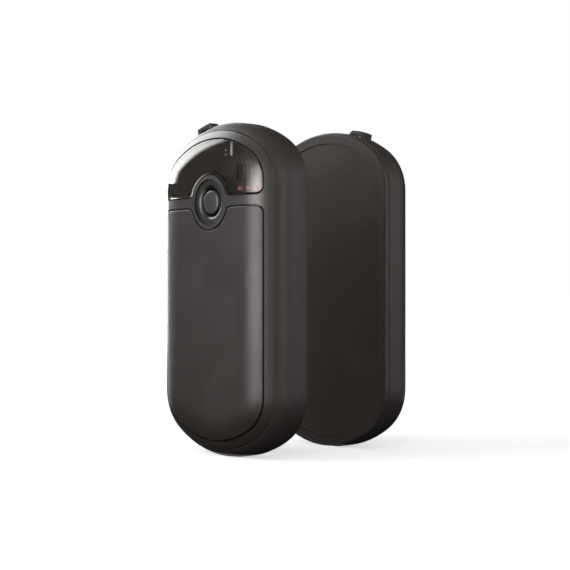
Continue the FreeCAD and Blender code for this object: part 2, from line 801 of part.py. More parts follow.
def make_button_cap():
    face = "(unit_thickness - cap_drop)"
    barrel = cylinder("cap_barrel", "cap_radius", "0", BUTTON_Z, FLANGE_BACK, face)
    flange = cylinder("cap_rim", "collar_radius - flange_inset", "0", BUTTON_Z, FLANGE_BACK, FLANGE_FRONT)
    post = cylinder("cap_post", "stem_radius", "0", BUTTON_Z, STEM_TOP, FLANGE_FRONT)
    solid = fuse("cap_solid", [barrel, flange, post])
    front = -value(face)

    def at_front(edge):
        return abs(edge.BoundBox.YMax - front) < 1e-6

    return rounded("button_cap", solid, "cap_round", at_front)


def make_back_cover():
    body = new_body("cover_plate")
    pad(body, "cover_pad", outline_sketch(body, "cover_outline", "cover_inset", "0"), "cover_edge")
    fillet(body, "cover_roll", "cover_round", flat_face(body, "0"))
    plug = outline_sketch(body, "plug_outline", "shell_wall + plug_clearance", "cover_edge")
    pad(body, "cover_plug", plug, "plug_height")
    pocket(body, "inlay_bed", outline_sketch(body, "bed_outline", "rim_width", "0"), INLAY_BACK)
    cups = [cylinder("magnet_cup", CUP_RADIUS, "0", z, INLAY_BACK, MAGNET_TOP) for z in MAGNETS]
    cupped = fuse("cupped_cover", [body, *cups])
    hole_radius = "magnet_diameter / 2 + magnet_clearance"
    hole_end = f"({INLAY_BACK} + magnet_thickness)"
    holes = [cylinder("magnet_hole", hole_radius, "0", z, "0", hole_end) for z in MAGNETS]
    head_radius = "screw_head_radius + screw_clearance"
    head_end = f"({INLAY_BACK} + screw_head)"
    heads = [cylinder("head_hole", head_radius, x, z, "0", head_end) for x, z in BOSSES]
    shank_radius = "screw_radius + screw_clearance"
    shanks = [cylinder("shank_hole", shank_radius, x, z, "0", FLOOR_TOP) for x, z in BOSSES]
    return cut("back_cover", cupped, [*holes, *heads, *shanks])


def make_back_inlay():
    return outline_prism("back_inlay", "rim_width + inlay_clearance", "inlay_recess", INLAY_BACK)


# Inner pieces


def make_magnets():
    end = f"({INLAY_BACK} + magnet_thickness)"
    discs = [cylinder("magnet", "magnet_diameter / 2", "0", z, INLAY_BACK, end) for z in MAGNETS]
    return group("magnets", discs)


def make_case_screws():
    head_end = f"({INLAY_BACK} + screw_head)"
    tip = f"({SEAT} - screw_gap)"
    screws = []
    for x, z in BOSSES:
        head = cylinder("screw_head_disc", "screw_head_radius", x, z, INLAY_BACK, head_end)
        shank = cylinder("screw_shank", "screw_radius", x, z, INLAY_BACK, tip)
        screws.append(fuse("case_screw", [head, shank]))
    return group("case_screws", screws)


BOARD_POSTS = [
    (f"{side} * {across}", height)
    for side in (-1, 1)
    for across, height in (
        (f"({HALF_WIDTH} - board_inset - post_inset)", f"({BOARD_BOTTOM} + post_rise)"),
        ("magnet_diameter", f"({MAGNET_Z} + post_rise)"),
    )
]
PORT_POSTS = [
    (
        f"{side} * (port_board_width / 2 - post_radius)",
        f"(port_board_start + 2 * post_radius - {HALF_HEIGHT})",
    )
    for side in (-1, 1)
]


def make_chassis():
    floor = outline_prism("chassis_plate", "shell_wall + chassis_clearance", PLUG_TOP, FLOOR_TOP)
    cup_room = f"{CUP_RADIUS} + chassis_hole_clearance"
    cups = [cylinder("cup_hole", cup_room, "0", z, "0", "unit_thickness") for z in MAGNETS]
    shank_radius = "screw_radius + screw_clearance"
    shanks = [cylinder("chassis_hole", shank_radius, x, z, "0", "unit_thickness") for x, z in BOSSES]
    socket_notch = box(
        "socket_notch",
        "-(socket_width / 2 + chassis_hole_clearance)",
        "(socket_width / 2 + chassis_hole_clearance)",
        "-unit_height",
        f"(-{MAGNET_Z})",
        "0",
        "unit_thickness",
    )
    plate = cut("chassis_floor_plate", floor, [*cups, *shanks, socket_notch])
    posts = [cylinder("board_post", "post_radius", x, z, PLUG_TOP, BOARD_BACK) for x, z in BOARD_POSTS]
    low_posts = [
        cylinder("port_post", "post_radius", x, z, PLUG_TOP, PORT_BOARD_BACK) for x, z in PORT_POSTS
    ]
    rib_x = f"({BATTERY_HALF} + battery_clearance + rib_thickness / 2)"
    ribs = [
        block(
            "battery_rib",
            "rib_thickness",
            f"({BATTERY_TOP} - {BATTERY_BOTTOM}) / 2",
            f"{side} * {rib_x}",
            f"({BATTERY_TOP} + {BATTERY_BOTTOM}) / 2",
            PLUG_TOP,
            f"({FLOOR_TOP} + rib_height)",
        )
        for side in (-1, 1)
    ]
    return fuse("chassis", [plate, *posts, *low_posts, *ribs])


def make_battery():
    plain = box(
        "battery_block",
        f"-{BATTERY_HALF}",
        BATTERY_HALF,
        BATTERY_BOTTOM,
        BATTERY_TOP,
        BATTERY_BACK,
        BATTERY_FRONT,
    )
    doc.recompute()
    length = value(f"{BATTERY_TOP} - {BATTERY_BOTTOM}")

    def lengthwise(edge):
        return abs(edge.BoundBox.ZLength - length) < 1e-6

    return rounded("battery", plain, "battery_round", lengthwise)


def make_battery_pad():
    half = f"({BATTERY_HALF} - battery_round)"
    low = f"({BATTERY_BOTTOM} + battery_round)"
    high = f"({BATTERY_TOP} - battery_round)"
    return box("battery_pad", f"-{half}", half, low, high, FLOOR_TOP, BATTERY_BACK)


def make_insulation_pad():
    top = f"({BATTERY_TOP} - battery_clearance)"
    return box(
        "insulation_pad",
        f"-{BATTERY_HALF}",
        BATTERY_HALF,
        BATTERY_BOTTOM,
        top,
        BATTERY_FRONT,
        INSULATION_FRONT,
    )


def make_heater_film():
    front = "(unit_thickness - panel_thickness)"
    film = outline_prism("heater_film", f"{CROWN_REACH} + film_clearance", FILM_BACK, front)
    strip = strip_sketch(film, "film_strip", "0", f"({CLEAR_TOP} - film_top_gap)", "unit_height")
    pocket(film, "film_trim", strip, "unit_thickness")
    return film


def make_thermistor():
    place = f"({BUTTON_Z} - sensor_drop)"
    back = f"({FILM_BACK} - sensor_thickness)"
    return block("thermistor", "sensor_width", "sensor_height", "0", place, back, FILM_BACK)


def make_battery_leads():
    places = [f"{side} * battery_lead_spread / 2" for side in (-1, 1)]
    leads = [
        upright_rod("battery_lead", "lead_radius", x, LEAD_DEPTH, BATTERY_TOP, LEAD_END) for x in places
    ]
    return group("battery_leads", leads)


def make_heater_leads():
    leads = []
    for side in (-1, 1):
        x = f"{side} * heater_lead_spread / 2"
        low = f"({CLEAR_TOP} - heater_lead_drop)"
        turn_depth = f"({LEAD_DEPTH} + lead_bend)"
        drop = cylinder("lead_drop", "lead_radius", x, low, turn_depth, FILM_BACK)
        rise = upright_rod("lead_rise", "lead_radius", x, LEAD_DEPTH, f"({low} + lead_bend)", LEAD_END)
        bend = doc.addObject("Part::Torus", "lead_bend_arc")
        bend.Angle3 = 90
        bend.Placement = FreeCAD.Placement(FreeCAD.Vector(), SIDE_AXIS)
        bind(bend, {"Radius1": "lead_bend", "Radius2": "lead_radius", "Placement.Base.x": x})
        bind(bend, {"Placement.Base.y": f"-{turn_depth}", "Placement.Base.z": f"{low} + lead_bend"})
        leads.append(fuse("heater_lead", [drop, bend, rise]))
    return group("heater_leads", leads)


def make_main_board():
    board = outline_prism("main_board", "board_inset", BOARD_BACK, BOARD_FRONT)
    strip = strip_sketch(board, "board_strip", "0", "-unit_height", BOARD_BOTTOM)
    pocket(board, "board_trim", strip, "unit_thickness")
    return board


def make_board_parts():
    upper = f"({BUTTON_Z} + upper_row)"
    lower = f"({BUTTON_Z} - capacitor_drop)"
    row_end = f"({LEG_X} - tray_leg_radius - package_gap)"
    packages = {
        "controller": ("chip_side", "chip_side", "-controller_offset", BUTTON_Z, "chip_height"),
        "charger": ("chip_side", "chip_side", f"(chip_side / 2 - {row_end})", upper, "chip_height"),
        "coil": ("coil_side", "coil_side", f"({row_end} - coil_side / 2)", upper, "coil_height"),
        "capacitor": ("capacitor_width", "capacitor_length", "capacitor_offset", lower, "capacitor_height"),
    }
    blocks = [
        block(name, width, length, x, z, BOARD_FRONT, f"({BOARD_FRONT} + {height})")
        for name, (width, length, x, z, height) in packages.items()
    ]
    return group("board_parts", blocks)


def make_tact_switch():
    body = block("switch_block", "switch_side", "switch_side", "0", BUTTON_Z, BOARD_FRONT, SWITCH_TOP)
    bore = cylinder(
        "stem_bore",
        "stem_radius + stem_clearance",
        "0",
        BUTTON_Z,
        f"({BOARD_FRONT} + switch_floor)",
        STEM_TOP,
    )
    return cut("tact_switch", body, [bore])


def make_switch_stem():
    start = f"({BOARD_FRONT} + switch_floor + stem_room)"
    return cylinder("switch_stem", "stem_radius", "0", BUTTON_Z, start, STEM_TOP)


def make_level_leds():
    front = f"({BOARD_FRONT} + led_thickness)"
    lights = [block("level_led", "led_width", "led_height", x, LED_Z, BOARD_FRONT, front) for x in LEDS]
    return group("level_leds", lights)


def make_light_pipes():
    start = f"({BOARD_FRONT} + led_thickness + pipe_gap)"
    end = f"({TRAY_FRONT} + pipe_stand)"
    pipes = [cylinder("light_pipe", "pipe_radius", x, LED_Z, start, end) for x in LEDS]
    return group("light_pipes", pipes)


def make_window_tray():
    grow = "(-window_land - tray_clearance)"
    plate = opening("tray_plate", True, grow, SEAT, TRAY_FRONT, "inner_round", "inner_round")
    hole_radius = "pipe_radius + pipe_clearance"
    holes = [cylinder("pipe_hole", hole_radius, x, LED_Z, "0", "unit_thickness") for x in LEDS]
    middle_z = f"(({FIN_BOTTOM} + {FIN_TOP}) / 2)"
    legs = [
        cylinder("tray_leg", "tray_leg_radius", f"{side} * {LEG_X}", middle_z, BOARD_FRONT, TRAY_FRONT)
        for side in (-1, 1)
    ]
    fin_length = f"({FIN_TOP} - {FIN_BOTTOM})"
    fin_front = f"({TRAY_FRONT} + fin_height)"
    fins = [block("tray_fin", "fin_width", fin_length, x, middle_z, SEAT, fin_front) for x in FINS]
    return fuse("window_tray", [cut("tray_holed", plate, holes), *legs, *fins])


def make_port_board():
    half = "(port_board_width / 2)"
    front = f"({PORT_DEPTH} + port_board_thickness / 2)"
    plain = box(
        "port_board_blank",
        f"-{half}",
        half,
        f"(port_board_start - {HALF_HEIGHT})",
        f"(port_board_end - {HALF_HEIGHT})",
        PORT_BOARD_BACK,
        front,
    )
    notch_half = "(socket_width / 2 + socket_clearance)"
    notch = box(
        "socket_seat",
        f"-{notch_half}",
        notch_half,
        "-unit_height",
        SOCKET_END,
        "0",
        "unit_thickness",
    )
    return cut("port_board", plain, [notch])


def make_usb_socket():
    can = stadium("socket_can", "socket_width", "socket_height", SOCKET_MOUTH, SOCKET_END)
    room = stadium(
        "socket_room",
        "(socket_width - 2 * socket_wall)",
        "(socket_height - 2 * socket_wall)",
        f"({SOCKET_MOUTH} - socket_wall)",
        f"({SOCKET_END} - socket_wall)",
    )
    return cut("usb_socket", can, [room])


def make_usb_tongue():
    end = f"({SOCKET_END} - socket_wall)"
    half = "(tongue_width / 2)"
    return box(
        "usb_tongue",
        f"-{half}",
        half,
        f"({end} - tongue_length)",
        end,
        f"({PORT_DEPTH} - tongue_thickness / 2)",
        f"({PORT_DEPTH} + tongue_thickness / 2)",
    )


PIECES = {
    "main_shell": make_main_shell(),
    "front_frame": make_front_frame(),
    "heat_panel": front_plate("heat_panel", False, crown_panel),
    "window": front_plate("window", True, crown_window),
    "button_collar": make_button_collar(),
    "button_cap": make_button_cap(),
    "back_cover": make_back_cover(),
    "back_inlay": make_back_inlay(),
    "lanyard_bar": make_lanyard_bar(),
    "magnets": make_magnets(),
    "case_screws": make_case_screws(),
    "chassis": make_chassis(),
    "battery": make_battery(),
    "battery_pad": make_battery_pad(),
    "battery_leads": make_battery_leads(),
    "insulation_pad": make_insulation_pad(),
    "heater_film": make_heater_film(),
    "thermistor": make_thermistor(),
    "heater_leads": make_heater_leads(),
    "main_board": make_main_board(),
    "board_parts": make_board_parts(),
    "tact_switch": make_tact_switch(),
    "switch_stem": make_switch_stem(),
    "level_leds": make_level_leds(),
    "light_pipes": make_light_pipes(),
    "window_tray": make_window_tray(),
    "port_board": make_port_board(),
    "usb_socket": make_usb_socket(),
    "usb_tongue": make_usb_tongue(),
}
UNIT_TURNS = {1: 0, 2: 180}


def place_units():
    """Places each piece once in either unit, and gives what each node's file holds."""
    nodes = {}
    for unit, turn in UNIT_TURNS.items():
        for name, piece in PIECES.items():
            node = doc.addObject("App::Link", f"{name}_{unit}")
            node.Label = f"{name}_{unit}"
            node.setLink(piece)
            node.LinkTransform = True
            spin = FreeCAD.Rotation(FreeCAD.Vector(0, 0, 1), turn)
            node.Placement = FreeCAD.Placement(FreeCAD.Vector(), spin)
            shift = "-unit_gap / 2" if turn == 0 else "unit_gap / 2"
            bind(node, {"Placement.Base.y": shift, "Placement.Base.z": f"{HALF_HEIGHT} - {LAND_DEPTH}"})
            nodes[node.Label] = node
    doc.recompute()
    return nodes


def check(nodes):
    for item in doc.Objects:
        if "Invalid" in item.State or "Error" in item.State:
            raise ValueError(f"{item.Label} is {item.State}")
    for label, node in nodes.items():
        shape = node.Shape
        if shape.isNull() or not shape.isValid() or not shape.Solids:
            raise ValueError(f"{label} has no valid solid")
        print(f"{label}: {len(shape.Solids)} solids, {shape.Volume:.1f} mm3")


nodes = place_units()
check(nodes)
os.makedirs("parts", exist_ok=True)
for label, node in nodes.items():
    node.Shape.exportStep(f"parts/{label}.step")
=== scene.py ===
# %% [markdown]
# # A pair of rechargeable hand warmers
#
# Two flat pocket warmers stand back to back with about three centimetres of air between them.
# Magnets in both backs pull them together into one thick pebble. The CAD model already holds every
# solid at its real size, so Blender's work is the finish: satin plastic, painted metal, smoked
# acrylic, the small moulded details, and a studio like the one a catalogue photograph is taken in.
#
# The first cell loads the CAD frame. Its box is measured at once, because nothing that is added
# later may make the object larger.

# %% Load the frame
import math

import bmesh
import bpy
from mathutils import Matrix, Vector


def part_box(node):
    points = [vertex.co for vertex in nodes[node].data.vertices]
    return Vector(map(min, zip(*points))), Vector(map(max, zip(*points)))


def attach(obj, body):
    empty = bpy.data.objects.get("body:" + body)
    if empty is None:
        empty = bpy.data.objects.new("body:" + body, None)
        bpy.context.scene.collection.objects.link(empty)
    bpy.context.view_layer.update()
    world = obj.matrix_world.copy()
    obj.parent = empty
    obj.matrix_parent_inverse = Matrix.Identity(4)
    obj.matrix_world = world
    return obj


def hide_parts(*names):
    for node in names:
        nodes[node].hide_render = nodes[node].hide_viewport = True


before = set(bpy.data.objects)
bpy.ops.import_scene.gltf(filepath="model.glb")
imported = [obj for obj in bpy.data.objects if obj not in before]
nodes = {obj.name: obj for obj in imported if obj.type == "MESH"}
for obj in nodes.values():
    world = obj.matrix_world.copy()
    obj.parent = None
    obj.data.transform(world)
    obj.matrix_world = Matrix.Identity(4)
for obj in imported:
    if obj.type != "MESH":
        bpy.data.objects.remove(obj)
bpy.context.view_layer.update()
MM = 0.001

# %% [markdown]
# ## The camera
#
# The photograph looks at the pair from the right, level with the middle of the front unit, through
# a long lens: parallel edges hardly meet. A camera can be placed by eye, but here its lens and its
# place come from matching the known outline of the units to the photograph, so that every part of
# the picture falls where it should. The camera looks straight at its aim, and nothing is shifted.

# %% Place the camera
PHOTO_SIDE = 570
FOCAL_PIXELS = 1391.3
SENSOR = 36.0
CLIP_START = 0.01
camera_spot = Vector((302.8, -277.9, 47.21)) * MM
camera_aim = Vector((7.26, -7.12, 48.56)) * MM
collection = bpy.context.scene.collection

lens = bpy.data.cameras.new("studio_camera")
lens.sensor_width = SENSOR
lens.lens = SENSOR * FOCAL_PIXELS / PHOTO_SIDE
lens.clip_start = CLIP_START
camera = bpy.data.objects.new("studio_camera", lens)
camera.location = camera_spot
camera.rotation_euler = (camera_aim - camera_spot).to_track_quat("-Z", "Y").to_euler()
collection.objects.link(camera)
bpy.context.scene.camera = camera
print(f"lens {lens.lens:.1f} mm at {(camera_aim - camera_spot).length / MM:.0f} mm")

# %% [markdown]
# ## Nodes by name
#
# A shader is a little network of nodes. Writing each node out takes many lines, so one helper puts
# a node into a network, sets its options, and either sets an input to a number or links it to the
# output of another node. The others are short forms of things that come up again and again: a screen
# colour turned into the linear numbers that a shader wants, a mix of two colours, a stretched range,
# one step of arithmetic, and the place on the piece.

# %% Helpers for shader networks
def place(tree, kind, inputs=(), **options):
    """Put a node of this kind in a network; inputs are values or other nodes' outputs."""
    node = tree.nodes.new(kind)
    for option, choice in options.items():
        setattr(node, option, choice)
    for socket, value in dict(inputs).items():
        if isinstance(value, bpy.types.NodeSocket):
            tree.links.new(value, node.inputs[socket])
        else:
            node.inputs[socket].default_value = value
    return node


def paint(code):
    """Linear colour of a screen colour written as six hex digits."""
    shades = [int(code[at:at + 2], 16) / 255 for at in (0, 2, 4)]
    return (*[s / 12.92 if s < 0.04045 else ((s + 0.055) / 1.055) ** 2.4 for s in shades], 1.0)


def blend_colours(tree, amount, first, second):
    """Colour that goes from the first to the second as the amount goes from 0 to 1."""
    return place(tree, "ShaderNodeMix", {0: amount, 6: first, 7: second}, data_type="RGBA").outputs[2]


def spread(tree, value, low, high, start=0.0, end=1.0):
    """Stretch a value that runs from start to end over the range from low to high."""
    return place(tree, "ShaderNodeMapRange", {"Value": value, "From Min": start, "From Max": end,
                                              "To Min": low, "To Max": high}).outputs[0]


def reckon(tree, operation, *values):
    """One step of arithmetic on numbers or other nodes' outputs."""
    return place(tree, "ShaderNodeMath", dict(enumerate(values)), operation=operation).outputs[0]


def object_spot(tree):
    """Place on the piece, in metres, in Object coordinates."""
    return place(tree, "ShaderNodeTexCoord").outputs["Object"]


print("satin black on screen is", [round(c, 4) for c in paint("3f3b3a")])

# %% [markdown]
# ## Shared effects
#
# Three effects turn up on almost every outer piece, so each is a node group that is built once, and
# a material only sets how coarse or how wide it is. All of them read Object coordinates: the pieces
# sit at the origin, so a grain of a given size stays that size.
#
# The first is moulded grain, the fine spark-eroded texture of a steel mould, copied into the plastic.
# A picture of such a grain could be wrapped round the piece, but a cell pattern with a fine noise
# needs no unwrapping. A slow noise beside it gives the drift of the colour.

# %% Moulded grain
def effect(name, inputs, outputs):
    """New node group with named inputs and outputs; gives the group, its inputs and its outputs."""
    group = bpy.data.node_groups.new(name, "ShaderNodeTree")
    for label, value in inputs.items():
        socket = group.interface.new_socket(label, in_out="INPUT", socket_type="NodeSocketFloat")
        socket.default_value = value
    for label in outputs:
        group.interface.new_socket(label, in_out="OUTPUT", socket_type="NodeSocketFloat")
    return group, group.nodes.new("NodeGroupInput").outputs, group.nodes.new("NodeGroupOutput").inputs


moulded_grain, given, result = effect(
    "moulded_grain", {"Grains per Metre": 9000.0, "Clouds per Metre": 60.0}, ("Height", "Cloud", "Fleck"))
spot = object_spot(moulded_grain)
pits = place(moulded_grain, "ShaderNodeTexVoronoi",
             {"Vector": spot, "Scale": given["Grains per Metre"], "Randomness": 1.0}, feature="SMOOTH_F1")
fine = place(moulded_grain, "ShaderNodeTexNoise",
             {"Vector": spot, "Scale": given["Grains per Metre"], "Detail": 3.0, "Roughness": 0.6})
cloud = place(moulded_grain, "ShaderNodeTexNoise",
              {"Vector": spot, "Scale": given["Clouds per Metre"], "Detail": 4.0})
height = reckon(moulded_grain, "ADD", pits.outputs["Distance"], fine.outputs[0])
for label, output in (("Height", height), ("Cloud", cloud.outputs[0]), ("Fleck", fine.outputs[0])):
    moulded_grain.links.new(output, result[label])
print("moulded grain puts out", [socket.name for socket in result if socket.name])

# %% [markdown]
# Edge wear is the slight polish that fingers and pockets give to every outer edge. It could be
# painted by hand along the edges. The Bevel node finds them by itself: it gives the normal that the
# surface would have if its edges were rounded, and where that leaves the true normal there is an
# edge. A patchy noise keeps the wear from looking drawn with a ruler. Where a finish gives its edges
# a lighter tone, this mask also carries a painted highlight along them, on top of the wear.

# %% Edge wear and painted edge highlight
EDGE_WIDTH = 0.4 * MM
TURN_AT_EDGE, TURN_ON_FACE = 0.80, 0.99
edge_wear_and_sheen, given, result = effect(
    "edge_wear_and_sheen", {"Edge Width": EDGE_WIDTH, "Patches per Metre": 350.0}, ("Wear_Sheen",))
rounded = place(edge_wear_and_sheen, "ShaderNodeBevel", {"Radius": given["Edge Width"]}, samples=6)
facing = place(edge_wear_and_sheen, "ShaderNodeNewGeometry").outputs["Normal"]
same = place(edge_wear_and_sheen, "ShaderNodeVectorMath", {0: rounded.outputs[0], 1: facing}, operation="DOT_PRODUCT")
patchy = place(edge_wear_and_sheen, "ShaderNodeTexNoise",
               {"Vector": object_spot(edge_wear_and_sheen), "Scale": given["Patches per Metre"], "Detail": 5.0})
edge = spread(edge_wear_and_sheen, same.outputs["Value"], 1.0, 0.0, TURN_AT_EDGE, TURN_ON_FACE)
edge_wear_and_sheen.links.new(reckon(edge_wear_and_sheen, "MULTIPLY", edge, patchy.outputs[0]), result["Wear_Sheen"])
print(f"edge wear is {EDGE_WIDTH / MM:.1f} mm wide unless a finish says otherwise")

# %% [markdown]
# Handling haze is the faint uneven film that hands leave on smooth faces. It is a slow noise, bent by
# some distortion so that it runs in smears, with its middle values stretched to full contrast.

# %% Handling haze
SMEAR_START, SMEAR_FULL = 0.42, 0.72
handling_haze, given, result = effect("handling_haze", {"Smears per Metre": 45.0}, ("Haze",))
smear = place(handling_haze, "ShaderNodeTexNoise", {"Vector": object_spot(handling_haze), "Detail": 6.0,
                                                    "Scale": given["Smears per Metre"], "Distortion": 1.2})
film = spread(handling_haze, smear.outputs[0], 0.0, 1.0, SMEAR_START, SMEAR_FULL)
handling_haze.links.new(film, result["Haze"])
print("shared effects:", [group.name for group in bpy.data.node_groups])

# %% [markdown]
# ## One recipe for satin surfaces
#
# The shell, frame, panel, button and back are all dark satin surfaces: nearly black, a little
# warm, and told apart by small steps of tone, by how rough they are and by how fine their grain
# is. One recipe makes them all. The colour drifts slightly from place to place, grain gives the
# bump, haze changes the roughness, and worn edges take a tone and a roughness of their own. Where
# that edge tone is lighter, it is partly wear and partly a painted highlight along the edge. The
# shine itself is the same all over a piece, so it is set on the shader and not linked.

# %% The satin recipe
GRAIN_DEPTH = 0.02 * MM
UNITS = ((1, "front"), (2, "rear"))


def finish_of(name):
    """New material with its network and its Principled shader."""
    material = bpy.data.materials.new(name)
    material.use_nodes = True
    return material, material.node_tree, material.node_tree.nodes["Principled BSDF"]


def shared(tree, group, **values):
    """Place a shared effect in a material, with its own values."""
    node = place(tree, "ShaderNodeGroup", node_tree=group)
    for label, value in values.items():
        node.inputs[label.replace("_", " ")].default_value = value
    return node.outputs


def emboss(tree, shader, height, strength, distance):
    """Give a shader a bump from a height."""
    bump = place(tree, "ShaderNodeBump", {"Height": height, "Strength": strength, "Distance": distance})
    tree.links.new(bump.outputs[0], shader.inputs["Normal"])


def satin(name, dark, light, rough, grains=9000.0, relief=0.2, shine=0.5, edge_width=EDGE_WIDTH,
          rubbed_edge_highlight_tone=None, edge_rough=0.8):
    """Dark satin surface: two near tones, a range of roughness, moulded grain, haze, and worn edges whose
    lighter tone is partly a painted highlight.
    """
    material, tree, shader = finish_of(name)
    grain = shared(tree, moulded_grain, Grains_per_Metre=grains)
    haze = shared(tree, handling_haze)["Haze"]
    edge_sheen_and_wear = shared(tree, edge_wear_and_sheen, Edge_Width=edge_width)["Wear_Sheen"]
    ground = blend_colours(tree, grain["Cloud"], paint(dark), paint(light))
    # Worn edges blend to their edge tone, which is partly wear and partly a painted highlight.
    tone = blend_colours(tree, edge_sheen_and_wear, ground, paint(rubbed_edge_highlight_tone or light))
    roughness = reckon(tree, "MULTIPLY", spread(tree, haze, *rough), spread(tree, edge_sheen_and_wear, 1.0, edge_rough))
    tree.links.new(tone, shader.inputs["Base Color"])
    tree.links.new(roughness, shader.inputs["Roughness"])
    emboss(tree, shader, grain["Height"], relief, GRAIN_DEPTH)
    shader.inputs["Specular IOR Level"].default_value = shine
    return material


def dress(material, *pieces):
    """Give a finish to these pieces of both units."""
    for piece in pieces:
        for unit, _ in UNITS:
            mesh = nodes[f"{piece}_{unit}"].data
            mesh.materials.clear()
            mesh.materials.append(material)
    print(material.name, "on", ", ".join(pieces))


print("satin grain is up to", GRAIN_DEPTH / MM, "mm deep")

# %% [markdown]
# ### Outer pieces and dark plastic inside
#
# The shell and the rim of the back are one moulded plastic with a fine matt grain. The frame round
# the window is smoother, and its edges are left duller than its faces, as a soft mould edge leaves
# them. The warm panel is soft-touch paint on metal, with a grain too fine to feel. The plate in the
# back is warmer in tone, and the lanyard bar is darker and duller than all of these. Chassis, stem
# and tongue inside are plain black plastic.

# %% Satin finishes
# The lighter edge tones here are partly worn polish and partly a painted highlight along the edges.
dress(satin("shell_satin", "36322f", "3c3835", rough=(0.44, 0.53), grains=7000.0, relief=0.4, shine=0.11,
            rubbed_edge_highlight_tone="4e4945"), "main_shell", "back_cover")
dress(satin("frame_satin", "2e2a27", "322e2b", rough=(0.31, 0.37), grains=9000.0, relief=0.2, shine=0.25,
            edge_width=0.2 * MM, edge_rough=2.0), "front_frame")
dress(satin("panel_paint", "2e2927", "322d2b", rough=(0.33, 0.40), grains=14000.0, relief=0.15, shine=0.18,
            rubbed_edge_highlight_tone="423e3c"), "heat_panel")
dress(satin("inlay_satin", "3c352e", "403932", rough=(0.34, 0.42), grains=8000.0, relief=0.2, shine=0.14,
            rubbed_edge_highlight_tone="57504a"), "back_inlay")
lanyard_finish = satin("lanyard_matt", "1d1b1a", "232120", rough=(0.50, 0.62), grains=5000.0, relief=0.6,
                       shine=0.18, rubbed_edge_highlight_tone="2d2a29")
dress(lanyard_finish, "lanyard_bar")
dress(satin("inner_plastic", "141414", "1a1a1a", rough=(0.45, 0.6), grains=5000.0, relief=0.5),
      "chassis", "switch_stem", "usb_tongue")

# %% [markdown]
# ## Smoked window
#
# The window is clear acrylic with a smoke tint, polished on both faces. Light goes in and out of
# it, so it is a transmitting shader: the tint is its colour, and the polish is a very low roughness
# with a faint haze of handling. Its side walls are blackened and dull, as a painted edge is, because
# a clear wall would pipe light round the rim. A face looks along Y and a wall doesn't, so the normal
# tells them apart. Metalness and transmission stay plain numbers.

# %% The smoked window
WALL_TURN, FACE_TURN = 0.35, 0.5
window_finish, tree, shader = finish_of("smoked_acrylic")
haze = shared(tree, handling_haze, Smears_per_Metre=70.0)["Haze"]
facing = place(tree, "ShaderNodeNewGeometry").outputs["Normal"]
outward = reckon(tree, "ABSOLUTE", place(tree, "ShaderNodeSeparateXYZ", {0: facing}).outputs["Y"])
clear = spread(tree, outward, 0.0, 1.0, WALL_TURN, FACE_TURN)
tint = blend_colours(tree, haze, paint("aca79f"), paint("b5b0a8"))
polish = place(tree, "ShaderNodeMix", {0: clear, 2: 1.0, 3: spread(tree, haze, 0.02, 0.06)}).outputs[0]
tree.links.new(blend_colours(tree, clear, paint("030303"), tint), shader.inputs["Base Color"])
tree.links.new(polish, shader.inputs["Roughness"])
shader.inputs["Transmission Weight"].default_value = 0.97
shader.inputs["IOR"].default_value = 1.28
dress(window_finish, "window")

# %% [markdown]
# ## The tray behind the window
#
# The tray is black, and thin upright fins stand on it. The tips of the fins are painted a little
# paler than the floor: a painted highlight, as if they caught light that leaves the deep floor in
# shade. How far a point lies from the middle plane between the units tells a fin from the floor, and
# it is the same for both units once its sign is dropped. Fine pale upright streaks, drawn by a
# stretched noise, are painted light from the charge lights: they run over the side of the lights, and
# fade out towards the other side and the top. The lights are at +X on the front unit and at -X on the
# rear one.

# %% Tray with painted highlights on the fins and painted streaks of light
FIN_START, FIN_TIP = 25.05 * MM, 25.35 * MM
LINES_PER_METRE = 4200.0
LINE_STRETCH = 0.02
LINE_FAINT, LINE_CLEAR = 0.35, 0.7
LINES_FROM, LINES_FULL = -1.0 * MM, 16.0 * MM
LINES_TOP, LINES_GONE = 83.0 * MM, 89.0 * MM
tray_finish, tree, shader = finish_of("tray_gloss")
grain = shared(tree, moulded_grain, Grains_per_Metre=9000.0)
spot = object_spot(tree)
where = place(tree, "ShaderNodeSeparateXYZ", {0: spot}).outputs
fin = spread(tree, reckon(tree, "ABSOLUTE", where["Y"]), 0.0, 1.0, FIN_START, FIN_TIP)
front_unit = reckon(tree, "MULTIPLY", reckon(tree, "SIGN", where["Y"]), -1.0)
to_lights = reckon(tree, "MULTIPLY", where["X"], front_unit)
stretched = place(tree, "ShaderNodeMapping", {"Vector": spot, "Scale": (1.0, LINE_STRETCH, LINE_STRETCH)})
lines = place(tree, "ShaderNodeTexNoise", {"Vector": stretched.outputs[0], "Scale": LINES_PER_METRE,
                                           "Detail": 4.0}).outputs[0]
across = reckon(tree, "MULTIPLY", spread(tree, lines, 0.0, 1.0, LINE_FAINT, LINE_CLEAR),
                spread(tree, to_lights, 0.0, 1.0, LINES_FROM, LINES_FULL))
drawn = reckon(tree, "MULTIPLY", across, spread(tree, where["Z"], 1.0, 0.0, LINES_TOP, LINES_GONE))
ground = blend_colours(tree, grain["Cloud"], paint("191715"), paint("201e1c"))
# The pale streaks are painted light, and the paler fin tips a painted highlight.
painted_light_streaks = blend_colours(tree, drawn, ground, paint("827d79"))
tree.links.new(blend_colours(tree, fin, painted_light_streaks, paint("3c3937")), shader.inputs["Base Color"])
tree.links.new(spread(tree, grain["Fleck"], 0.28, 0.36), shader.inputs["Roughness"])
emboss(tree, shader, grain["Height"], 0.02, GRAIN_DEPTH)
shader.inputs["Specular IOR Level"].default_value = 0.15
dress(tray_finish, "window_tray")

# %% [markdown]
# The lights spill a faint red on the tray round them. Real spilt light needs many samples behind
# glass, so it is put into the tray's own finish as a soft glow that follows the row of lights: full
# along the row, and gone a little way above, below and beside it.

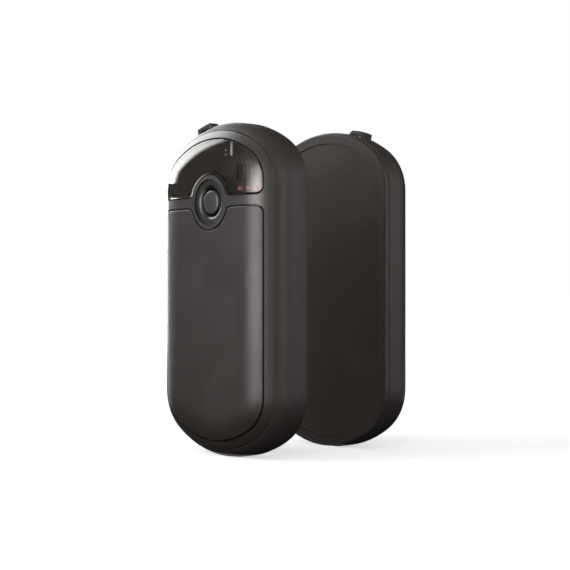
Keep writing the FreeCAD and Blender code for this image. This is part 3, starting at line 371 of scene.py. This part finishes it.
# %% Red spill on the tray
SPILL_NEAR, SPILL_FAR = 0.2 * MM, 1.6 * MM
SPILL_STRENGTH = 0.3
BLACK = (0.0, 0.0, 0.0, 1.0)
row_low, row_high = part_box("light_pipes_1")
row_middle = (row_low + row_high) / 2
row_half = (row_high.x - row_low.x) / 2
off_row = reckon(tree, "ABSOLUTE", reckon(tree, "SUBTRACT", where["Z"], row_middle.z))
beside = reckon(tree, "ABSOLUTE", reckon(tree, "SUBTRACT", to_lights, row_middle.x))
spill = reckon(tree, "MULTIPLY", spread(tree, off_row, 1.0, 0.0, SPILL_NEAR, SPILL_FAR),
               spread(tree, beside, 1.0, 0.0, row_half, row_half + SPILL_FAR))
tree.links.new(blend_colours(tree, spill, BLACK, paint("a86c74")), shader.inputs["Emission Color"])
shader.inputs["Emission Strength"].default_value = SPILL_STRENGTH
print(f"red spill along {row_half * 2 / MM:.1f} mm of lights")

# %% [markdown]
# ## Metals, foil, film and boards
#
# Inside are the parts nobody sees until a unit is opened. They still get their own finish, because
# the model may be shown in pieces: nickel on the magnets, steel on the screws and the charging
# socket, a crinkled foil pouch round the cell, amber film with a heater track, dark solder mask,
# and sleeved leads. The metals share one recipe: a noise squeezed along one axis gives the fine
# lines that drawing or rolling leaves.

# %% Metals
LINE_DEPTH = 0.01 * MM
LINE_SQUEEZE = 0.05


def metal(name, dark, light, rough, lines):
    """Bright metal with fine drawn lines, this many to a metre, and a painted glint on its worn edges."""
    material, tree, shader = finish_of(name)
    slow = lines * LINE_SQUEEZE
    drawn = place(tree, "ShaderNodeMapping", {"Vector": object_spot(tree), "Scale": (lines, slow, slow)})
    streak = place(tree, "ShaderNodeTexNoise", {"Vector": drawn.outputs[0], "Scale": 1.0, "Detail": 4.0})
    edge_sheen_and_wear = shared(tree, edge_wear_and_sheen, Edge_Width=0.2 * MM)["Wear_Sheen"]
    tone = blend_colours(tree, streak.outputs[0], paint(dark), paint(light))
    # Worn edges blend to white: partly wear, and partly a painted glint along the edges.
    tree.links.new(blend_colours(tree, edge_sheen_and_wear, tone, paint("ffffff")), shader.inputs["Base Color"])
    tree.links.new(spread(tree, streak.outputs[0], *rough), shader.inputs["Roughness"])
    emboss(tree, shader, streak.outputs[0], 0.15, LINE_DEPTH)
    shader.inputs["Metallic"].default_value = 1.0
    return material


dress(metal("nickel_plate", "a9a8a4", "c8c7c3", rough=(0.12, 0.22), lines=3000.0), "magnets")
dress(metal("bright_steel", "8f9092", "b4b5b7", rough=(0.22, 0.38), lines=9000.0),
      "case_screws", "usb_socket")

# %% [markdown]
# The cell is a pouch of thin foil that crinkles as it is folded shut. Slow clouds give both the
# change of tone and the shallow dents, so the two belong together.

# %% Foil pouch of the cell
CRINKLE_DEPTH = 0.4 * MM
foil_finish, tree, shader = finish_of("cell_foil")
grain = shared(tree, moulded_grain, Grains_per_Metre=1800.0, Clouds_per_Metre=120.0)
silver = blend_colours(tree, grain["Cloud"], paint("8f9296"), paint("b9bcc0"))
tree.links.new(silver, shader.inputs["Base Color"])
tree.links.new(spread(tree, grain["Fleck"], 0.25, 0.42), shader.inputs["Roughness"])
emboss(tree, shader, grain["Cloud"], 0.5, CRINKLE_DEPTH)
shader.inputs["Metallic"].default_value = 0.9
dress(foil_finish, "battery")

# %% [markdown]
# The heater is a copper track between two sheets of amber film. The track runs to and fro, so bands
# of a wave texture draw it, and the same bands lift it a little out of the film.

# %% Amber film with a heater track
BANDS_PER_METRE = 160.0
BAND_EDGE = 0.04
TRACK_DEPTH = 0.03 * MM
film_finish, tree, shader = finish_of("amber_film")
track = place(tree, "ShaderNodeTexWave", {"Vector": object_spot(tree), "Scale": BANDS_PER_METRE,
                                          "Distortion": 0.0}, bands_direction="Z")
copper = spread(tree, track.outputs["Fac"], 0.0, 1.0, 0.5 - BAND_EDGE, 0.5 + BAND_EDGE)
tree.links.new(blend_colours(tree, copper, paint("8a4d10"), paint("b87333")), shader.inputs["Base Color"])
tree.links.new(spread(tree, copper, 0.22, 0.35), shader.inputs["Roughness"])
emboss(tree, shader, copper, 0.4, TRACK_DEPTH)
dress(film_finish, "heater_film")

# %% [markdown]
# A board is glass fibre under green-black solder mask, with paler runs of copper showing through. A
# brick pattern gives the runs, and worn edges show the bare laminate. The packages on it are moulded
# in plain black.

# %% Circuit boards and their packages
RUNS_PER_METRE = 260.0
board_finish, tree, shader = finish_of("solder_mask")
run = place(tree, "ShaderNodeTexBrick", {"Vector": object_spot(tree), "Scale": RUNS_PER_METRE,
                                         "Mortar Size": 0.03, "Mortar": paint("2a4637"),
                                         "Color1": paint("10201a"), "Color2": paint("13261f")})
edge_sheen_and_wear = shared(tree, edge_wear_and_sheen, Edge_Width=0.3 * MM)["Wear_Sheen"]
masked = blend_colours(tree, edge_sheen_and_wear, run.outputs["Color"], paint("8c7a4a"))
tree.links.new(masked, shader.inputs["Base Color"])
tree.links.new(spread(tree, run.outputs["Fac"], 0.25, 0.38), shader.inputs["Roughness"])
emboss(tree, shader, run.outputs["Fac"], 0.3, TRACK_DEPTH)
dress(board_finish, "main_board", "port_board")
dress(satin("moulded_package", "111111", "191919", rough=(0.35, 0.5), grains=16000.0, relief=0.5),
      "board_parts", "tact_switch", "thermistor")

# %% [markdown]
# Foam pads keep the heat in the panel and the cell from rattling, and silicone sleeves carry the
# leads. Both are the satin recipe again: the foam coarse and quite dull, the sleeves smooth and red.

# %% Foam, pads and leads
dress(satin("closed_foam", "2c2c2e", "3a3a3c", rough=(0.75, 0.95), grains=2500.0, relief=1.2),
      "insulation_pad", "battery_pad")
dress(satin("silicone_sleeve", "7a1712", "8e1e17", rough=(0.4, 0.55), grains=3000.0, relief=0.2,
            rubbed_edge_highlight_tone="a3302a"), "battery_leads", "heater_leads")

# %% [markdown]
# ## Charge lights
#
# Four small red lights in a row shine through the window, each at the end of a clear pipe that
# carries the light up from the board. Nothing moulded is perfectly clear, so the glow is mottled:
# its colour follows the clouds in the plastic instead of being flat. The chips behind the pipes use
# the same recipe, redder and brighter.

# %% Red lights and their pipes
def glow(name, hot, cool, strength):
    """Tinted clear plastic that glows; the glow is mottled by the grain inside the plastic."""
    material, tree, shader = finish_of(name)
    grain = shared(tree, moulded_grain, Grains_per_Metre=2600.0, Clouds_per_Metre=900.0)
    light = blend_colours(tree, grain["Cloud"], paint(hot), paint(cool))
    tree.links.new(light, shader.inputs["Emission Color"])
    tree.links.new(light, shader.inputs["Base Color"])
    tree.links.new(spread(tree, grain["Fleck"], 0.1, 0.3), shader.inputs["Roughness"])
    shader.inputs["Emission Strength"].default_value = strength
    return material


dress(glow("red_pipe", "dca6ab", "bd767d", strength=0.45), "light_pipes")
dress(glow("red_chip", "ff7a70", "ff3a30", strength=2.0), "level_leds")

# %% [markdown]
# ## Pieces made here
#
# Some details are too fine for the CAD model, or need a rounder shape than it has, so they are made
# here from Blender's own mesh tools. Each one is drawn once, on the front unit. The rear unit is the
# same unit turned half round, so its copy is the same mesh turned by 180 degrees about the upright.

# %% Put a piece on both units
WELD = 0.001 * MM
SHARP_ANGLE = math.radians(35)


def on_both_units(name, form, finish, replaced=None, carrier="unit"):
    """Make the piece for the front unit, and a copy turned half round for the rear unit."""
    bmesh.ops.remove_doubles(form, verts=form.verts, dist=WELD)
    bmesh.ops.recalc_face_normals(form, faces=form.faces)
    for unit, side in UNITS:
        mesh = bpy.data.meshes.new(f"{name}_{unit}")
        form.to_mesh(mesh)
        mesh.materials.append(finish)
        mesh.shade_smooth()
        mesh.set_sharp_from_angle(angle=SHARP_ANGLE)
        piece = bpy.data.objects.new(f"{name}_{unit}", mesh)
        collection.objects.link(piece)
        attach(piece, f"{side}_{carrier}")
        if replaced:
            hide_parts(f"{replaced}_{unit}")
        bmesh.ops.rotate(form, matrix=Matrix.Rotation(math.pi, 3, "Z"), cent=(0, 0, 0), verts=form.verts)
    print(name, "faces:", len(form.faces))
    form.free()


cap_low, cap_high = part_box("button_cap_1")
button_middle = (cap_low + cap_high) / 2
print("button at", [round(v / MM, 2) for v in button_middle])

# %% [markdown]
# ### Button collar
#
# Round the button runs a smooth black ring, almost flat, with a softly rounded lip where the cap goes
# through it. It is a turned shape, so one half of its section is drawn as five points, the lip is
# rounded with a bevel, and the section is spun once round the button's axis. A torus would be quicker,
# but it has no flat and no straight bore.

# %% Button collar
BORE = 3.72 * MM
BORE_TOP = 1.7 * MM
LIP_RADIUS = 4.1 * MM
LIP_DEPTH = 0.62 * MM
LIP_ROUND = 1.0 * MM
RING_DEPTH = 0.5 * MM
RING_GAP = 0.02 * MM
TURN_STEPS = 96
FACE_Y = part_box("front_frame_1")[0].y
collar_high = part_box("button_collar_1")[1]


def turned(section, lip, rounding):
    """Spin a closed section, given as radius and depth behind the front face, round the button."""
    form = bmesh.new()
    line = [form.verts.new((radius, FACE_Y + depth, button_middle.z)) for radius, depth in section]
    for at in range(len(line)):
        form.edges.new((line[at - 1], line[at]))
    bmesh.ops.bevel(form, geom=[line[lip]], offset=rounding, segments=8, profile=0.5, affect="VERTICES",
                    material=-1)
    bmesh.ops.spin(form, geom=form.verts[:] + form.edges[:], cent=(0, 0, button_middle.z), axis=(0, 1, 0),
                   angle=2 * math.pi, steps=TURN_STEPS, use_merge=True)
    return form


collar_finish = satin("collar_gloss", "12100f", "161412", rough=(0.30, 0.38), grains=12000.0, relief=0.04,
                      shine=0.26, rubbed_edge_highlight_tone="1a1817")
collar_edge = collar_high.x - RING_GAP
collar_foot = collar_high.y - FACE_Y
collar_section = [(collar_edge, collar_foot), (collar_edge, RING_DEPTH), (LIP_RADIUS, LIP_DEPTH),
                  (BORE, BORE_TOP), (BORE, collar_foot)]
on_both_units("turned_collar", turned(collar_section, 2, LIP_ROUND), collar_finish, "button_collar")

# %% [markdown]
# ### Button cap
#
# The cap sits in the bore of its collar. Its face is domed by a hair and its edge is well rounded,
# which draws the thin bright line along its rim; the lighter tone of its edge adds a painted
# highlight to that line. A flange behind the collar keeps it from falling out. It is turned in the
# same way as the collar, and it moves with the button when that is pressed.

# %% Button cap
CAP_RADIUS = 3.48 * MM
CAP_DOME = 0.06 * MM
CAP_ROUND = 0.7 * MM
FLANGE_GAP = 0.1 * MM
cap_finish = satin("button_satin", "393533", "3f3b39", rough=(0.24, 0.32), grains=11000.0, relief=0.15,
                   shine=0.3, rubbed_edge_highlight_tone="58534f")
cap_face = cap_low.y - FACE_Y
cap_foot = cap_high.y - FACE_Y
flange_front = collar_foot + FLANGE_GAP
cap_section = [(0.0, cap_foot), (0.0, cap_face), (CAP_RADIUS, cap_face + CAP_DOME),
               (CAP_RADIUS, flange_front), (cap_high.x, flange_front), (cap_high.x, cap_foot)]
on_both_units("turned_cap", turned(cap_section, 2, CAP_ROUND), cap_finish, "button_cap", "button")

# %% [markdown]
# ### Ribs on the lanyard bar
#
# The cord bar on the top edge has fine upright ribs on its two faces, so that a thumb finds it. Each
# rib is a small block with rounded edges that goes through the bar and stands just under a tenth of a
# millimetre out of both faces. The bar lies on the arc of the unit's end, so the ribs are turned one
# after another, by steps in degrees, about that arc's middle.

# %% Lanyard ribs
END_RADIUS = 35.0 * MM
RIB_COUNT = 7
RIB_STEP = 1.2
RIB_MIDDLE = -15.9
RIB_WIDTH = 0.36 * MM
RIB_PROUD = 0.08 * MM
RIB_HEIGHT = 1.0 * MM
RIB_RISE = 0.62 * MM
RIB_ROUND = 0.09 * MM
bar_low, bar_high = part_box("lanyard_bar_1")
shell_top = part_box("main_shell_1")[1].z
arc_middle = Vector((0, (bar_low.y + bar_high.y) / 2, shell_top - END_RADIUS))
rib_size = (RIB_WIDTH, bar_high.y - bar_low.y + 2 * RIB_PROUD, RIB_HEIGHT)
rib_spot = arc_middle + Vector((0, 0, END_RADIUS + RIB_RISE))


def small_block(form, size, spot, rounding):
    """Add a block with rounded edges to a mesh in the making; gives its vertices."""
    made = bmesh.ops.create_cube(form, size=1.0)["verts"]
    bmesh.ops.scale(form, vec=size, verts=made)
    bmesh.ops.translate(form, vec=spot, verts=made)
    edges = list({edge for vert in made for edge in vert.link_edges})
    rounded = bmesh.ops.bevel(form, geom=edges, offset=rounding, segments=2, profile=0.5, affect="EDGES",
                              material=-1)["verts"]
    return list({*rounded, *[vert for vert in made if vert.is_valid]})


form = bmesh.new()
for rib in range(RIB_COUNT):
    block = small_block(form, rib_size, rib_spot, RIB_ROUND)
    turn = math.radians(RIB_MIDDLE + (rib - (RIB_COUNT - 1) / 2) * RIB_STEP)
    bmesh.ops.rotate(form, matrix=Matrix.Rotation(turn, 3, "Y"), cent=arc_middle, verts=block)
on_both_units("lanyard_ribs", form, lanyard_finish)

# %% [markdown]
# ### Seal round the window
#
# A black rubber seal fills most of the gap between the window and its frame, and hides the wall of
# the acrylic. The wall already runs all round, so a copy of the window's mesh is merged, only its
# wall faces are kept, and that ribbon is moved out a little, pushed back below the face, and given
# its thickness.

# %% Window seal
SEAL_CLEAR = 0.05 * MM
SEAL_THICK = 0.32 * MM
SEAL_DROP = 0.3 * MM
WALL_LIMIT = 0.3
form = bmesh.new()
form.from_mesh(nodes["window_1"].data)
bmesh.ops.remove_doubles(form, verts=form.verts, dist=WELD)
faces_of_window = [face for face in form.faces if abs(face.normal.y) > WALL_LIMIT]
bmesh.ops.delete(form, geom=faces_of_window, context="FACES")
bmesh.ops.translate(form, vec=(0, SEAL_DROP, 0), verts=form.verts)
form.normal_update()
for corner in form.verts:
    corner.co += corner.normal * SEAL_CLEAR
raised = bmesh.ops.extrude_face_region(form, geom=form.faces[:], use_keep_orig=True)["geom"]
form.normal_update()
for corner in [item for item in raised if isinstance(item, bmesh.types.BMVert)]:
    corner.co += corner.normal * SEAL_THICK
seal_finish = satin("seal_rubber", "090909", "0e0e0e", rough=(0.7, 0.85), grains=6000.0, relief=0.3,
                    shine=0.12)
on_both_units("window_seal", form, seal_finish)

# %% [markdown]
# ### Behind the window
#
# Through the smoked acrylic a slim upright light guide shows near the top, with two small pins
# beside it. They stand on the front of the tray, under the window. Its clear plastic is given a faint
# pale glow, painted light that makes it show bright behind the smoke, and the pins are moulded with
# it and glow the same.

# %% Light guide
TRAY_FRONT = 4.56 * MM
GUIDE_SIZE = Vector((0.24, 0.6, 3.6)) * MM
GUIDE_STAND = 0.25 * MM
GUIDE_SPOT = Vector((5.2 * MM, FACE_Y + TRAY_FRONT - GUIDE_STAND, 86.5 * MM))
GUIDE_ROUND = 0.07 * MM
guide_finish, tree, shader = finish_of("clear_guide")
grain = shared(tree, moulded_grain, Grains_per_Metre=4000.0, Clouds_per_Metre=600.0)
pale = blend_colours(tree, grain["Cloud"], paint("ccd0d6"), paint("e4e8ee"))
tree.links.new(pale, shader.inputs["Base Color"])
tree.links.new(pale, shader.inputs["Emission Color"])
tree.links.new(spread(tree, grain["Fleck"], 0.1, 0.25), shader.inputs["Roughness"])
# The emission is painted light: the guide and its pins glow though no lamp lights them.
shader.inputs["Emission Strength"].default_value = 0.7
form = bmesh.new()
small_block(form, GUIDE_SIZE, GUIDE_SPOT, GUIDE_ROUND)
on_both_units("light_guide", form, guide_finish)

# %% [markdown]
# Each pin is a short cone that narrows towards the front, as a moulded pin does to leave its mould.
# Cylinders would look much the same from afar, but they would stick in the steel.

# %% Guide pins
PIN_FOOT, PIN_TIP = 0.15 * MM, 0.1 * MM
PIN_LENGTH = 0.5 * MM
PIN_STAND = 0.2 * MM
PIN_X = 2.6 * MM
PIN_HEIGHTS = (85.2 * MM, 86.4 * MM)
form = bmesh.new()
for height in PIN_HEIGHTS:
    pin = bmesh.ops.create_cone(form, cap_ends=True, segments=20, radius1=PIN_FOOT, radius2=PIN_TIP,
                                depth=PIN_LENGTH)["verts"]
    bmesh.ops.rotate(form, matrix=Matrix.Rotation(math.pi / 2, 3, "X"), cent=(0, 0, 0), verts=pin)
    bmesh.ops.translate(form, vec=(PIN_X, FACE_Y + TRAY_FRONT - PIN_STAND, height), verts=pin)
on_both_units("guide_pins", form, guide_finish)

# %% [markdown]
# ### Contacts in the charging port
#
# The tongue of the charging socket carries twelve thin contacts on each face. They are small gold
# plates with rounded edges, half sunk in the plastic they lie on. A loop makes each plate at its
# place, because the two rows differ only in the face that they lie on.

# %% Charging contacts
CONTACTS = 12
CONTACT_PITCH = 0.5 * MM
CONTACT_SIZE = Vector((0.26, 0.08, 2.6)) * MM
CONTACT_RISE = 1.7 * MM
CONTACT_ROUND = 0.02 * MM
gold_finish = metal("contact_gold", "a9822e", "d9b45a", rough=(0.18, 0.3), lines=8000.0)
tongue_low, tongue_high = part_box("usb_tongue_1")
form = bmesh.new()
for face in (tongue_low.y, tongue_high.y):
    for contact in range(CONTACTS):
        sideways = (contact - (CONTACTS - 1) / 2) * CONTACT_PITCH
        small_block(form, CONTACT_SIZE, (sideways, face, tongue_low.z + CONTACT_RISE), CONTACT_ROUND)
on_both_units("charge_contacts", form, gold_finish)

# %% [markdown]
# ## The studio: a white world
#
# A black object is drawn by what it reflects, so the studio is built with care: a white world, soft
# boxes, cards and a pale floor. The background is to be white, but a white world that also lit
# the object would wash the black out. Light Path tells the rays apart. Those that show a background,
# from the camera, off gloss and through glass, find plain white, and those that only bring light to
# matt surfaces find a soft grey.

# %% World
AMBIENT = 0.35
WHITE = (1.0, 1.0, 1.0, 1.0)


def shows_background(tree):
    """1 for rays that show a background: from the camera, off gloss, and through glass."""
    path = place(tree, "ShaderNodeLightPath").outputs
    pair = reckon(tree, "ADD", path["Is Camera Ray"], path["Is Glossy Ray"])
    return place(tree, "ShaderNodeMath", {0: pair, 1: path["Is Transmission Ray"]}, operation="ADD",
                 use_clamp=True).outputs[0]


world = bpy.data.worlds.new("white_studio")
world.use_nodes = True
bpy.context.scene.world = world
sky = world.node_tree
soft = place(sky, "ShaderNodeBackground", {"Color": WHITE, "Strength": AMBIENT})
white = place(sky, "ShaderNodeBackground", {"Color": WHITE, "Strength": 1.0})
chosen = place(sky, "ShaderNodeMixShader",
               {0: shows_background(sky), 1: soft.outputs[0], 2: white.outputs[0]})
sky.links.new(chosen.outputs[0], sky.nodes["World Output"].inputs["Surface"])
bpy.context.scene.view_settings.view_transform = "Standard"
print("world: white to see, grey to light with, strength", AMBIENT)

# %% [markdown]
# ## Soft boxes
#
# Every lamp is an upright soft box that stands at a bearing round the object and faces it. A lamp
# shows either on gloss only or on matt surfaces only, so the shape of a reflection and the level of
# the light can be set apart from each other. An edge of a lamp that fades leaves no hard line in the
# plastic. A fade weighs how far across and how far up the lamp a point lies, and goes from dark to
# bright as that sum goes from one value to another.

# %% A soft box that can fade to its edges
def towards(bearing, reach, height=0.0):
    """Point at a bearing from straight in front, in degrees, positive to the right."""
    turn = math.radians(bearing)
    return Vector((math.sin(turn) * reach, -math.cos(turn) * reach, height))


def fade_to_edges(lamp, fades):
    """Fade a lamp: each fade is its weights across and up, and the sums where it is dark and bright."""
    lamp.use_nodes = True
    tree = lamp.node_tree
    on_lamp = place(tree, "ShaderNodeNewGeometry").outputs["Parametric"]
    spot = place(tree, "ShaderNodeSeparateXYZ", {0: on_lamp}).outputs
    bright = 1.0
    for across, up, dark_at, bright_at in fades:
        weighed = reckon(tree, "MULTIPLY_ADD", spot["X"], across, reckon(tree, "MULTIPLY", spot["Y"], up))
        rise = place(tree, "ShaderNodeMapRange",
                     {"Value": weighed, "From Min": dark_at, "From Max": bright_at},
                     interpolation_type="SMOOTHSTEP").outputs[0]
        bright = reckon(tree, "MULTIPLY", bright, rise)
    tree.links.new(bright, tree.nodes["Emission"].inputs["Strength"])


def soft_box(name, bearing, reach, heights, width, radiance, fades=(), on_gloss=True):
    """Upright soft box between two heights, facing the object, for gloss or else for matt surfaces."""
    low, high = heights
    lamp = bpy.data.lights.new(name, "AREA")
    lamp.shape = "RECTANGLE"
    lamp.size = width
    lamp.size_y = high - low
    lamp.energy = radiance * math.pi * width * (high - low)
    if fades:
        fade_to_edges(lamp, fades)
    stand = bpy.data.objects.new(name, lamp)
    stand.location = towards(bearing, reach, (low + high) / 2)
    stand.rotation_euler = (-towards(bearing, reach)).to_track_quat("-Z", "Y").to_euler()
    stand.visible_glossy = on_gloss
    stand.visible_diffuse = not on_gloss
    collection.objects.link(stand)
    print(f"{name}: {lamp.energy:.1f} W")


print("straight in front is", [round(v, 2) for v in towards(0.0, 1.0)])

# %% [markdown]
# Five soft boxes are there to be reflected. The tall one on the left starts above the object's top
# and draws the white crescent round the window. The low one in front draws the soft band down the
# right of the panel. One at the right rear and one on the right give the side walls their sheen, and
# a narrow one at the left rear does the same for the far sides.

# %% Soft boxes for reflections
BOTH_SIDES = ((1.0, 0.0, 0.0, 0.4), (1.0, 0.0, 1.0, 0.6))
BOTH_ENDS = ((0.0, 1.0, 0.0, 0.4), (0.0, 1.0, 1.0, 0.6))
soft_box("left_soft_box", bearing=-83.0, reach=0.60, heights=(0.148, 0.85), width=0.90, radiance=11.0,
         fades=((1.0, -0.25, 0.76, 0.64), (0.0, 1.0, 1.1, 0.85), (1.0, 0.0, 0.03, 0.68)))
soft_box("front_soft_box", bearing=-12.0, reach=0.60, heights=(-0.36, 0.50), width=0.80, radiance=25.0,
         fades=((1.0, 0.0, 0.0, 0.6), (1.0, 0.0, 0.0, 0.6), (1.0, 0.0, 0.78, 0.62),
                (0.0, 1.0, 0.0, 0.46), (0.0, 1.0, 1.0, 0.46)))
soft_box("side_soft_box", bearing=128.0, reach=0.70, heights=(-0.20, 0.60), width=0.50, radiance=5.5,
         fades=BOTH_SIDES + BOTH_ENDS)
soft_box("left_strip", bearing=-113.0, reach=0.60, heights=(-0.20, 0.50), width=0.30, radiance=6.0)
soft_box("right_strip", bearing=76.0, reach=0.60, heights=(-0.10, 0.50), width=0.44, radiance=9.0,
         fades=BOTH_SIDES)

# %% [markdown]
# Two more light the matt part of every surface: a key from the front left and a weaker fill from the
# front right. They show in no reflection.

# %% Soft boxes for matt light
soft_box("key_soft_box", bearing=-35.0, reach=0.90, heights=(0.15, 0.95), width=0.80, radiance=3.8,
         on_gloss=False)
soft_box("fill_soft_box", bearing=42.0, reach=0.90, heights=(0.10, 0.90), width=0.60, radiance=2.0,
         on_gloss=False)

# %% [markdown]
# ## Cards
#
# Photographers put black and grey cards round a black object to keep white out of its flat faces.
# These cards show in reflections only: the camera doesn't see them, and they cast no shadow. Each is
# a line from an inner to an outer end, each end given as its reach and its height, spun round the
# object from a start bearing. A flat plane would do, but a card that curves round the object keeps
# the same distance all along.

# %% A card swept round the object
FULL_TURN = 360.0
CARD_STEPS = 24


def spun_card(name, finish, inner, outer, start, turn):
    """Card swept round the object: the line from inner to outer, turned from a start bearing."""
    form = bmesh.new()
    line = [form.verts.new(towards(start, *end)) for end in (inner, outer)]
    edge = form.edges.new(line)
    bmesh.ops.spin(form, geom=[*line, edge], cent=(0, 0, 0), axis=(0, 0, 1), angle=math.radians(turn),
                   steps=CARD_STEPS, use_merge=turn == FULL_TURN)
    mesh = bpy.data.meshes.new(name)
    form.to_mesh(mesh)
    form.free()
    mesh.materials.append(finish)
    card = bpy.data.objects.new(name, mesh)
    collection.objects.link(card)
    card.visible_camera = False
    card.visible_diffuse = False
    card.visible_shadow = False
    print(name, "has", len(mesh.polygons), "faces")


print("a card has", CARD_STEPS, "facets")

# %% [markdown]
# Black felt lies under the object and on parts of the floor round it, so that the lower edges mirror
# less of the white floor. A grey card stands between the left and the front lamp, for the panel. A
# narrow black one on the left draws the dark block at the low end of the crescent. Behind stand and
# lie black cards for the backs, and one slopes over the left and the rear for the tops. The only
# bright card lies on the floor in front, and carries the soft band of the panel a little further
# down.

# %% Set the cards
LYING = 0.001
LIT_LYING = 0.002
LIT_STRENGTH = 4.0
black_felt = satin("black_felt", "101010", "161616", rough=(0.8, 0.95), grains=1500.0, relief=1.0, shine=0.1)
grey_felt = satin("grey_felt", "5a5a5a", "626262", rough=(0.8, 0.95), grains=1500.0, relief=1.0, shine=0.1)
lit_card, tree, shader = finish_of("lit_card")
speck = place(tree, "ShaderNodeTexNoise", {"Vector": object_spot(tree), "Scale": 20.0})
tree.links.new(blend_colours(tree, speck.outputs[0], paint("f4f4f4"), WHITE), shader.inputs["Emission Color"])
shader.inputs["Emission Strength"].default_value = LIT_STRENGTH
CARDS = (
    ("under_card", black_felt, (0.002, LYING), (0.10, LYING), 0.0, FULL_TURN),
    ("standing_card", grey_felt, (0.70, 0.03), (0.70, 0.9), -58.5, 46.0),
    ("lying_card", black_felt, (0.10, LYING), (0.70, LYING), -75.0, 62.0),
    ("lying_left_card", black_felt, (0.12, LYING), (0.90, LYING), -160.0, 62.0),
    ("edge_card", black_felt, (0.55, 0.095), (0.55, 0.142), -97.0, 40.0),
    ("lit_floor_card", lit_card, (0.12, LIT_LYING), (0.50, LIT_LYING), -14.0, 22.0),
    ("back_card", black_felt, (0.90, 0.0), (0.90, 0.9), 160.0, 54.0),
    ("lying_back_card", black_felt, (0.18, LYING), (0.90, LYING), 150.0, 34.0),
    ("top_card", black_felt, (0.90, 0.27), (0.30, 1.3), 160.0, 150.0),
)
for card in CARDS:
    spun_card(*card)

# %% [markdown]
# ## Floor
#
# The floor is one plain pale sheet. A little glow is added to its own colour for the rays that show a
# background, so that it reads as white and still takes the object's shadow. The glow grows with the
# distance, which hides where the floor ends. For the light that only bounces up to the object the
# floor is a duller grey, because a black thing on a bright floor would lose its dark underside.

# %% Floor
FLOOR_SIDE = 12.0
NEAR_GLOW, FAR_GLOW = 0.6, 0.75
GLOW_START, GLOW_END = 0.2, 0.8
form = bmesh.new()
bmesh.ops.create_grid(form, x_segments=1, y_segments=1, size=FLOOR_SIDE / 2)
floor_mesh = bpy.data.meshes.new("floor")
form.to_mesh(floor_mesh)
form.free()
floor = bpy.data.objects.new("floor", floor_mesh)
collection.objects.link(floor)
floor_finish, tree, shader = finish_of("white_floor")
spot = object_spot(tree)
speck = place(tree, "ShaderNodeTexNoise", {"Vector": spot, "Scale": 40.0, "Detail": 3.0})
sheet = blend_colours(tree, speck.outputs[0], paint("e6e6e6"), paint("ebebeb"))
tree.links.new(sheet, shader.inputs["Base Color"])
shader.inputs["Roughness"].default_value = 0.9
shader.inputs["Specular IOR Level"].default_value = 0.0
away = place(tree, "ShaderNodeVectorMath", {0: spot}, operation="LENGTH").outputs["Value"]
shine = spread(tree, away, NEAR_GLOW, FAR_GLOW, GLOW_START, GLOW_END)
lit = place(tree, "ShaderNodeEmission", {"Color": WHITE, "Strength": shine})
added = place(tree, "ShaderNodeAddShader", {0: shader.outputs[0], 1: lit.outputs[0]})
dull = place(tree, "ShaderNodeBsdfDiffuse", {"Color": paint("8a8a8a")})
seen = place(tree, "ShaderNodeMixShader",
             {0: shows_background(tree), 1: dull.outputs[0], 2: added.outputs[0]})
tree.links.new(seen.outputs[0], tree.nodes["Material Output"].inputs["Surface"])
floor_mesh.materials.append(floor_finish)
print("floor", FLOOR_SIDE, "m square")
